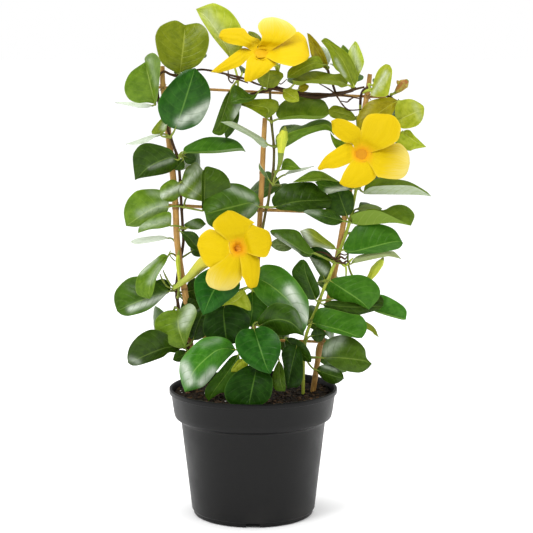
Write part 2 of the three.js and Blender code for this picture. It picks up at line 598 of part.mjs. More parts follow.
// Soil, with a socket for each cane and stem that stands in it
function buildSoil(sockets) {
  const { wall, floor } = POT;
  const [bandFoot, bandFootZ] = innerBandFoot();
  const [shoulder, shoulderZ] = innerShoulder();
  const bandHeight = POT.height - POT.lipHeight - bandFootZ;
  const bandSlope = (POT.bandTopRadius - POT.bandFootRadius) / bandHeight;
  const edge = bandFoot + bandSlope * (SOIL.top - bandFootZ);
  const profile = [
    [0, floor + GAP],
    [POT.footRadius - wall - SOIL.footInset, floor + GAP],
    [POT.footRadius - wall - GAP, floor + SOIL.footRise],
    [shoulder - SOIL.wallGap, shoulderZ],
    [bandFoot - SOIL.wallGap, bandFootZ],
    [edge - SOIL.wallGap, SOIL.top],
    [SOIL.moundRadius, SOIL.top + SOIL.rim],
    [SOIL.moundRadius / 2, SOIL.top + SOIL.mound],
    [0, SOIL.top + SOIL.mound],
  ];
  let soil = latheSolid(profile, POT.sides);
  sockets.forEach((socket) => {
    soil = soil.subtract(socket);
  });
  return soil;
}

// Canes stand well down in the soil, and stems reach a little way under its surface
function sunk(samples, depth) {
  const foot = samples[samples.length - 1];
  const before = samples[samples.length - 3];
  const down = foot.point.clone().sub(before.point).normalize();
  return [...samples, { point: foot.point.clone().addScaledVector(down, depth), radius: foot.radius }];
}

function caneSamples(cane) {
  const last = cane.path.length - 1;
  const withRadius = cane.path.map((point, index) => {
    const spread = Math.min(index / 2, 1);
    return [...point, THREE.MathUtils.lerp(cane.tip, cane.radius, index === last ? 1 : spread)];
  });
  return sunk(samplePath(withRadius, 2), CANE_DEPTH);
}

function vineRuns(vine) {
  return vine.runs.map((run, index) => {
    const samples = samplePath(run, 2);
    return index === 0 ? sunk(samples.reverse(), STEM_DEPTH).reverse() : samples;
  });
}

// The nearest point of a stem to a pixel, and the stem's radius there
function nodeOnVine(runs, [u, v]) {
  let best = null;
  runs.flat().forEach((sample) => {
    const target = place([u, v, sample.point.y]);
    const distance = target.distanceTo(sample.point);
    if (best === null || distance < best.distance) {
      best = { distance, sample };
    }
  });
  return best.sample;
}

function refinedRuns(vine) {
  return vine.runs.map((run) => samplePath(run, 12));
}

// Where a leaf's or flower's stalk meets its stem: beside it, a small gap off its skin
function hubCentre(vineLookup, entry, hubRadius) {
  const node = nodeOnVine(vineLookup[entry.vine], entry.at);
  const direction = new THREE.Vector3(...entry.seat).normalize();
  return node.point.clone().addScaledVector(direction, node.radius + hubRadius + SEAT_GAP);
}

function hubSolid(centre, radius) {
  const geometry = new THREE.IcosahedronGeometry(radius, 0);
  geometry.translate(centre.x, centre.y, centre.z);
  return solidFromGeometry(geometry);
}

// Axes of a blade from its base to its tip, with the upper face's normal
function bladeAxes(base, tip, roll) {
  const along = tip.clone().sub(base).normalize();
  const front = new THREE.Vector3(0, -1, 0);
  front.addScaledVector(along, -front.dot(along)).normalize();
  const skyward = along.clone().cross(front);
  if (skyward.z + 0.3 * skyward.x < 0) {
    skyward.negate();
  }
  const angle = THREE.MathUtils.degToRad(roll);
  const normal = front.multiplyScalar(Math.cos(angle)).addScaledVector(skyward, Math.sin(angle));
  return { along, normal, side: along.clone().cross(normal) };
}

// How far a midrib stands off the straight line from base to tip, as a fraction of its bow
function bow(fraction) {
  return 4 * fraction * (1 - fraction);
}

// A leaf's half width at a fraction of its length: oval, widest just under the middle
function leafOutline(fraction) {
  const oval = Math.sin(Math.PI * Math.min(fraction, 1) ** 0.92);
  return Math.max(oval, 0) ** 0.72;
}

// A petal's half width: narrow in the throat and widest near its round end
function petalOutline(fraction) {
  const rise = 0.3 + 0.7 * Math.sin(Math.PI * 0.5 * Math.min(fraction / 0.7, 1));
  const end = fraction > 0.7 ? Math.sqrt(Math.max(1 - ((fraction - 0.7) / 0.31) ** 2, 0)) : 1;
  return rise * end;
}

function bladeRing(centre, axes, halfWidth, fold, thickness) {
  const lift = Math.sin(fold) * halfWidth;
  const reach = Math.cos(fold) * halfWidth;
  const half = thickness / 2;
  const corners = [[-reach, lift], [0, half], [reach, lift], [0, -half]];
  return corners.map(([across, up]) => centre.clone()
    .addScaledVector(axes.side, across)
    .addScaledVector(axes.normal, up));
}

// A leaf stalk's ring, turned so that it runs into the blade's first ring
function stalkRing(centre, axes, along, radius) {
  let side = axes.side.clone().addScaledVector(along, -axes.side.dot(along));
  if (side.length() < 0.3) {
    const normal = axes.normal.clone().addScaledVector(along, -axes.normal.dot(along)).normalize();
    side = along.clone().cross(normal);
  }
  side.normalize();
  const normal = side.clone().cross(along);
  const angles = [180, 90, 0, -90];
  return angles.map((degrees) => {
    const angle = THREE.MathUtils.degToRad(degrees);
    return centre.clone()
      .addScaledVector(side, Math.cos(angle) * radius)
      .addScaledVector(normal, Math.sin(angle) * radius);
  });
}

const PETAL_STEPS = [-0.12, 0.35, 0.65, 0.86, 1];
const STALK_STEPS = [0, 0.55];
const BLADE_STEPS = [0.02, 0.18, 0.45, 0.75, 0.94, 1];

function leafSolid(start, shape) {
  const base = place(shape.base);
  const tip = place(shape.tip);
  const axes = bladeAxes(base, tip, shape.roll);
  const length = tip.distanceTo(base);
  const fold = THREE.MathUtils.degToRad(shape.fold);
  const control = base.clone().addScaledVector(axes.along, -0.45 * start.distanceTo(base));
  const stalk = new THREE.QuadraticBezierCurve3(start, control, base);
  const rings = STALK_STEPS.map((step) => {
    return stalkRing(stalk.getPoint(step), axes, stalk.getTangent(step), PETIOLE_RADIUS);
  });
  BLADE_STEPS.forEach((step) => {
    const centre = base.clone().addScaledVector(axes.along, length * step);
    centre.addScaledVector(axes.normal, shape.arch * bow(step));
    const half = Math.max((shape.width / 2) * leafOutline(step), PETIOLE_RADIUS * 0.8);
    rings.push(bladeRing(centre, axes, half, fold, BLADE_THICKNESS));
  });
  return loft(rings);
}

function leafGroupSolid(group, vineLookup) {
  const centre = hubCentre(vineLookup, group, HUB_RADIUS);
  const hub = hubSolid(centre, HUB_RADIUS);
  return group.leaves.reduce((solid, blade) => solid.add(leafSolid(centre, blade)), hub);
}

// A flower's petals spread from its throat, and its tube runs back to the calyx
function petalSolid(throat, faces, shape) {
  const tip = place(shape.tip);
  const along = tip.clone().sub(throat).normalize();
  const normal = faces.clone().addScaledVector(along, -faces.dot(along)).normalize();
  const axes = { along, normal, side: along.clone().cross(normal) };
  const length = tip.distanceTo(throat);
  const rings = PETAL_STEPS.map((step) => {
    const centre = throat.clone().addScaledVector(along, length * step);
    centre.addScaledVector(normal, shape.arch * bow(step));
    const half = Math.max((shape.width / 2) * petalOutline(step), PETAL_THICKNESS);
    return bladeRing(centre, axes, half, 0, PETAL_THICKNESS);
  });
  return loft(rings);
}

function flowerSolid(flower) {
  const throat = place(flower.tube[flower.tube.length - 1]);
  const faces = new THREE.Vector3(...flower.faces).normalize();
  const body = tube(samplePath(flower.tube, 1), 8);
  return flower.petals.reduce((solid, shape) => solid.add(petalSolid(throat, faces, shape)), body);
}

// A flower's stalk ends in its calyx, just short of the tube
function stalkedSolid(entry, path, vineLookup) {
  const centre = hubCentre(vineLookup, entry, HUB_RADIUS);
  const rest = samplePath(path, 2);
  const samples = [{ point: centre, radius: 1.1 }, ...rest];
  return hubSolid(centre, HUB_RADIUS).add(tube(samples, STEM_SIDES));
}

const plant = new THREE.Group();
const trellis = new THREE.Group();
const vineLookup = Object.fromEntries(VINES.map((vine) => [vine.name, refinedRuns(vine)]));
const sockets = [];

CANES.forEach((cane) => {
  const samples = caneSamples(cane);
  trellis.add(meshFromSolid(cane.name, tube(samples, CANE_SIDES), COLOURS.bamboo, 0.6));
  sockets.push(tube(samples, CANE_SIDES, GAP));
});

RUNGS.forEach((rung) => {
  const ends = rung.ends.map(([u, v]) => ({ point: place([u, v, RUNG_Y]), radius: rung.radius }));
  trellis.add(meshFromSolid(rung.name, tube(ends, RUNG_SIDES), COLOURS.bamboo, 0.6));
});

VINES.forEach((vine) => {
  const runs = vineRuns(vine);
  const solid = runs.map((run) => tube(run, STEM_SIDES)).reduce((whole, run) => whole.add(run));
  plant.add(meshFromSolid(vine.name, solid, COLOURS.stem, 0.7));
  sockets.push(tube(runs[0], STEM_SIDES, GAP));
});

LEAF_GROUPS.forEach((group) => {
  const solid = leafGroupSolid(group, vineLookup);
  plant.add(meshFromSolid(group.name, solid, COLOURS[group.leaves[0].tone], 0.4));
});

FLOWERS.forEach((flower) => {
  const stalk = stalkedSolid(flower, flower.stalk_path, vineLookup);
  plant.add(meshFromSolid(flower.name, flowerSolid(flower), COLOURS.petal, 0.5));
  plant.add(meshFromSolid(flower.stalk, stalk, COLOURS.stalk, 0.6));
});

BUDS.forEach((bud) => {
  plant.add(meshFromSolid(bud.name, stalkedSolid(bud, bud.path, vineLookup), COLOURS.stalk, 0.6));
});

const model = new THREE.Group();
model.add(meshFromSolid("pot", buildPot(), COLOURS.pot, 0.45));
model.add(meshFromSolid("potting_soil", buildSoil(sockets), COLOURS.soil, 1));
model.add(trellis);
model.add(plant);

export default model;
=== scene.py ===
# A potted mandevilla with yellow trumpet flowers, trained on a small bamboo trellis.
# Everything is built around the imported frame. The plant's own tables are in millimetres and
# read places as a photograph's pixel column and row with a depth y; meshes end up in metres.

import math

import bpy
import numpy as np
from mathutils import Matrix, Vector, noise


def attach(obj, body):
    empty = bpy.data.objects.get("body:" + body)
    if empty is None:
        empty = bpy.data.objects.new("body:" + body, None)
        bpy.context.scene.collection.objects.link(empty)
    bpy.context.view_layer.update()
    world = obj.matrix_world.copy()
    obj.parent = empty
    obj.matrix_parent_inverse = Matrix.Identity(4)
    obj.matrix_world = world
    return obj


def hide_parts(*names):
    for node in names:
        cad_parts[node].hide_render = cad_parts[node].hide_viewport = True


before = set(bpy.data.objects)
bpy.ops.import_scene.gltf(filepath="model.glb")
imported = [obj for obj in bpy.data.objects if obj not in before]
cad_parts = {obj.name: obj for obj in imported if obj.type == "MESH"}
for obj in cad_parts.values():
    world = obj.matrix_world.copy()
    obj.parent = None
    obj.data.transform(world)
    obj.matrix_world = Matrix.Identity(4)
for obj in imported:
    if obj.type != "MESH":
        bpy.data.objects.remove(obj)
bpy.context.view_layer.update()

METRES = 0.001
TURN = 2 * math.pi

# The photograph's camera, in millimetres, degrees and pixels
CAMERA = {"x": 13.5, "y": -1629, "z": 473, "pitch": 7.67, "focal": 1628, "centre": 266.5}
SENSOR = 36

# Pot: outer and inner profile sizes in millimetres
POT = {
    "height": 130, "lip_radius": 85.5, "lip_height": 5, "lip_wall": 2.6,
    "band_top": 83.7, "band_foot": 80.9, "band_foot_z": 105.3,
    "shoulder": 73.8, "shoulder_z": 97.3, "shoulder_rise": 3.2,
    "wall_foot": 63, "wall_foot_z": 5, "foot": 61.2, "foot_corner": 1.4, "wall": 1.9, "floor": 2.2,
}
DRAIN = {"width": 14, "height": 4.5, "slant": 1.1, "count": 4, "inner": 57, "outer": 70}
SOIL = {"top": 120.5, "mound": 2.2, "radius": 79.6}
# Heaps of soil by the rim: x, y, spread and height
HEAPS = ((63, 27, 19, 5.5), (-64, 16, 22, 6.5), (38, 58, 18, 4), (-36, -60, 16, 2.5))

# The plant's small sizes
HUB_RADIUS = 1.8
HUB_STALK_RADIUS = 1.1
SEAT_GAP = 0.35
STEM_DEPTH = 26
CANE_DEPTH = 100
RUNG_Y = 13.1

# Trellis: pixel columns and rows along each cane, the depth y that it stands at, its radius, its
# radius at the tip, and how far down from the tip each node ring is
CANES = [
  {
    "name": "cane_left", "y": 8, "radius": 3.2, "tip": 2.2, "nodes": (62, 143, 226, 300),
    "path": [(162.5, 66), (163, 85), (168.5, 135), (173, 176), (175.5, 206), (177, 240), (181, 270),
      (186, 300), (190.5, 345), (195, 391)],
  },
  {
    "name": "cane_middle", "y": 8.5, "radius": 2.7, "tip": 2.4, "nodes": (55, 128, 197, 262),
    "path": [(265, 118), (264, 135), (263, 155), (262, 178), (260.5, 207), (257, 270), (253.5, 330),
      (250, 391)],
  },
  {
    "name": "cane_right", "y": 8.3, "radius": 2.9, "tip": 2.3, "nodes": (48, 121, 190, 254, 312),
    "path": [(370, 74), (367, 95), (355, 160), (343, 226), (336, 265), (328, 303), (321, 340),
      (313, 391)],
  },
]

# Rungs, with the pixels where twine ties them to the canes
RUNGS = [
  {
    "name": "rung_upper", "radius": 1.35, "ends": [(150, 87), (386, 97.5)],
    "ties": [(163, 87.5), (367.6, 96.6)],
  },
  {
    "name": "rung_middle", "radius": 1.7, "ends": [(146, 204.5), (351, 213.5)],
    "ties": [(175.6, 205.7), (260.6, 209), (345, 213.2)],
  },
  {
    "name": "rung_lower", "radius": 1.5, "ends": [(178, 336), (332, 342.5)],
    "ties": [(189.6, 336.6), (253.2, 339), (321.6, 342)],
  },
]

# A tie's depth y, its size in millimetres and how far its two loops lean, as an angle
TIE_Y = 10.6
TIE_HALF_WIDTH = 4.2
TIE_HALF_DEPTH = 5.4
TIE_LEAN = 0.75
TWINE_RADIUS = 0.5

# Stems: pixel column, pixel row, depth y and radius along each run, from the soil up
VINES = [
  {
    "name": "left_vine",
    "runs": [
      [[191, 396, 5, 1.6], [190, 380, 4, 1.6], [187, 347, 3.6, 1.6], [180.5, 322, 7, 1.6],
        [177.8, 303, 9, 1.6], [176.5, 288, 11, 1.6], [178.2, 271, 14, 1.6], [181.2, 256, 14.3, 1.6],
        [183.4, 241, 11.5, 1.5], [182.6, 225, 8.5, 1.5], [181.4, 205, 8, 1.5], [179.8, 177, 8, 1.5],
        [178.5, 165, 7.5, 1.5], [176.5, 154, 5.5, 1.5], [174, 147, 3.2, 1.4], [170.5, 137, 1.9, 1.4],
        [165.5, 124, 2.2, 1.4], [160.5, 110, 5.4, 1.4], [158, 96, 7, 1.4], [157.6, 85, 7, 1.3],
        [158.8, 76, 3.6, 1.3], [164, 71.5, 2, 1.3], [171, 74.5, 2.4, 1.3], [180, 75.5, 4, 1.2],
        [197, 70, 5, 1.1], [210, 70.5, 5, 1.1], [230, 75, 4, 1.1], [245, 79, 2, 1.1],
        [257, 84, 0.5, 1.0], [267, 87, 0.3, 0.8]],
    ],
  },
  {
    "name": "middle_vine",
    "runs": [
      [[264, 396, 2, 1.5], [263.5, 345, 1, 1.5], [263.5, 311, 1, 1.5], [258, 298, 1.5, 1.4],
        [252.5, 288, 2.8, 1.4], [253, 270, 2.8, 1.4], [258, 245, 2.8, 1.4], [262.5, 229, 3, 1.4],
        [266, 210, 4.5, 1.4], [268, 203, 5, 1.4], [271, 183, 6, 1.4], [273, 175, 6, 1.4],
        [274, 150, 6, 1.3], [272, 128, 6, 1.3], [270.5, 110, 6, 1.3], [270, 90, 5, 1.3]],
      [[249, 94.5, 6, 1.0], [262, 91.5, 5, 1.5], [270, 89.5, 5, 1.7], [276, 88, 5, 1.7],
        [290, 91, 5, 1.7], [305, 93.5, 5, 1.7], [320, 95, 5, 1.9], [335, 95, 5, 1.7],
        [350, 91, 4, 1.5], [356, 88, 3, 1.1]],
      [[336, 94.5, 5, 1.3], [332, 82, 4, 1.2], [327.6, 69.7, 2.9, 1.0]],
      [[263.5, 352, 1, 1.3], [254, 350, -9, 1.2], [242, 349.5, -20, 1.1]],
      [[263.5, 366, 1, 1.3], [265, 363, -11, 1.2], [267, 361, -23, 1.1]],
    ],
  },
  {
    "name": "right_vine",
    "runs": [
      [[303, 396, 3, 1.7], [304.5, 345, 2, 1.7], [311, 322, 2.5, 1.7], [316, 310, 2.8, 1.7],
        [323, 291, 2.6, 1.7], [328, 280, 2.4, 1.7], [332, 270, 2.2, 1.6], [338, 255, 2.2, 1.6],
        [343.8, 240, 3, 1.6], [349.5, 222, 6, 1.6], [356, 190, 8.5, 1.5], [360, 165, 10.5, 1.5],
        [361.5, 140, 13.6, 1.5], [360.3, 120, 14.2, 1.4], [360.3, 107, 13, 1.4], [360.6, 99, 8.8, 1.4],
        [362.5, 91.5, 3.6, 1.4], [368, 88, 2.4, 1.4], [373.5, 90.5, 5, 1.3], [381, 93.5, 7, 1.2],
        [392, 98.5, 7, 1.2], [399, 107, 7, 1.1], [400, 119, 7, 1.1], [398.5, 137, 7, 0.9]],
    ],
  },
]

# Thin strands that twine along the trellis, and twigs, as pixel column, row, depth y and radius: for
# each stem those in its first skin, then those in its second
STRANDS = {
  "middle_vine": [[], [
    [[268, 88, 1, 1.2], [280, 90, 0, 1.5], [290, 92, 1, 1.7], [300, 95, 0, 1.7], [315, 97.5, 1, 1.7],
      [325, 96.5, 2, 1.6], [335, 93.5, 1, 1.6], [345, 92, 0, 1.4], [354, 89.5, 0, 1.3],
      [364, 87, 1, 1.0]],
    [[270, 87, 2, 0.8], [280, 89, 2, 0.9], [300, 93, -1.5, 0.9], [318, 93.5, 0, 0.9],
      [331, 94, 3, 0.8]],
    [[318, 83, 4, 0.5], [328, 88.5, 2, 0.7], [334, 93, -2, 0.8], [338, 98, -2, 0.8],
      [342, 104, -1, 0.8], [347, 109, 0, 0.7], [352, 110.2, 2, 0.7], [361, 109.5, 6, 0.6]],
    [[334, 94, -1, 0.7], [345, 96, -1, 0.8], [352, 97, 0, 0.8], [361, 99, 4, 0.6]],
    [[341, 101, -1, 0.5], [347, 102, -2, 0.7], [350, 99.5, -2, 0.9], [354, 97.5, -1, 0.4]],
    [[276, 88, 2, 0.6], [277, 82, 0, 0.6], [281, 84, -1, 0.6], [287, 79, -2, 0.4]],
  ]],
  "left_vine": [[
    [[228, 69, 3, 0.5], [228.5, 76, 0, 0.8], [229, 80, -2, 0.8], [232, 83, -1, 0.7], [234, 80, 1, 0.4]],
    [[226, 75, 2, 0.5], [232, 78, -1.5, 1.0], [240, 80, 0, 1.0], [248, 83, 0, 0.6]],
  ], [
    [[176, 290, 6, 0.8], [168, 287, 2, 0.8], [163, 281, 0, 1.0], [160, 274, 0, 0.5]],
    [[176, 289, 7, 0.8], [171, 285, 3, 0.8], [166, 277, 2, 1.0], [163, 270, 2, 0.4]],
    [[177, 287, 7, 0.7], [179, 281, 2, 0.9], [181, 273, 1, 0.4]],
    [[175, 261, 11, 0.6], [171, 257, 6, 0.6], [169.5, 253, 4, 0.6], [171, 250.5, 3, 0.4]],
  ]],
  "right_vine": [[
    [[340, 262, 1, 0.9], [345, 266, -2, 1.1], [350, 261, -2, 1.2], [353, 258, 0, 0.6]],
    [[338, 258, 1, 0.9], [343, 264, -3, 1.0], [346, 268, -3, 1.1], [346, 276, -2, 0.8]],
    [[371, 89, 2, 1.4], [366, 91, 0, 1.4], [363, 93, 4, 1.0]],
  ], [
    [[333, 257, 1, 0.6], [337, 259, -4, 1.1], [341, 257, -5, 1.2], [345, 259, -4, 0.9],
      [347, 256, -3, 0.4]],
    [[335, 262, 1, 0.6], [339, 261, -5, 1.2], [343, 263, -4, 1.1], [347, 261, -4, 0.9],
      [350, 264, -3, 0.4]],
    [[336, 258, 0, 0.6], [340, 254, -3, 0.8], [345, 255, -3, 0.7], [349, 252.5, -3, 0.4]],
    [[316, 252, 4, 0.4], [323, 252.5, 2, 0.9], [330, 256, 0, 1.1], [336, 260, -1, 0.8]],
  ]],
}

# A leaf's base and tip are pixel column, pixel row and depth y, and arch is how far its midrib bows,
# in millimetres. Width is in millimetres too. Roll turns the upper face from the front towards the
# sky, or to the right on an upright leaf, and fold raises its two halves, both in degrees.
def leaf(base, tip, width, roll, fold, arch, tone, **shape):
    """A leaf that only its own sizes shape, with what is special about it."""
    return {
        "base": base, "tip": tip, "width": width, "roll": roll, "fold": fold, "arch": arch,
        "tone": tone, **shape,
    }


# A leaf whose outline the photograph shows. Its two edges and its midrib run from base to tip as
# pixel columns and rows, first the edge on the anticlockwise side. "turned" is how far each half
# swings towards the camera, in degrees.
def traced(base, tip, arch, tone, turned, first, second, rib, **shape):
    """A leaf that keeps its outline in the photograph, with what is special about it."""
    return {
        "base": base, "tip": tip, "arch": arch, "tone": tone, "turned": turned, "first": first,
        "second": second, "rib": rib, **shape,
    }


def leaves_at(name, vine, at, seat, *leaves):
    """The leaves that leave a stem at one node: its pixel, and the side of the stem they sit on."""
    return {"name": "leaves_" + name, "vine": vine + "_vine", "at": at, "seat": seat, "leaves": leaves}


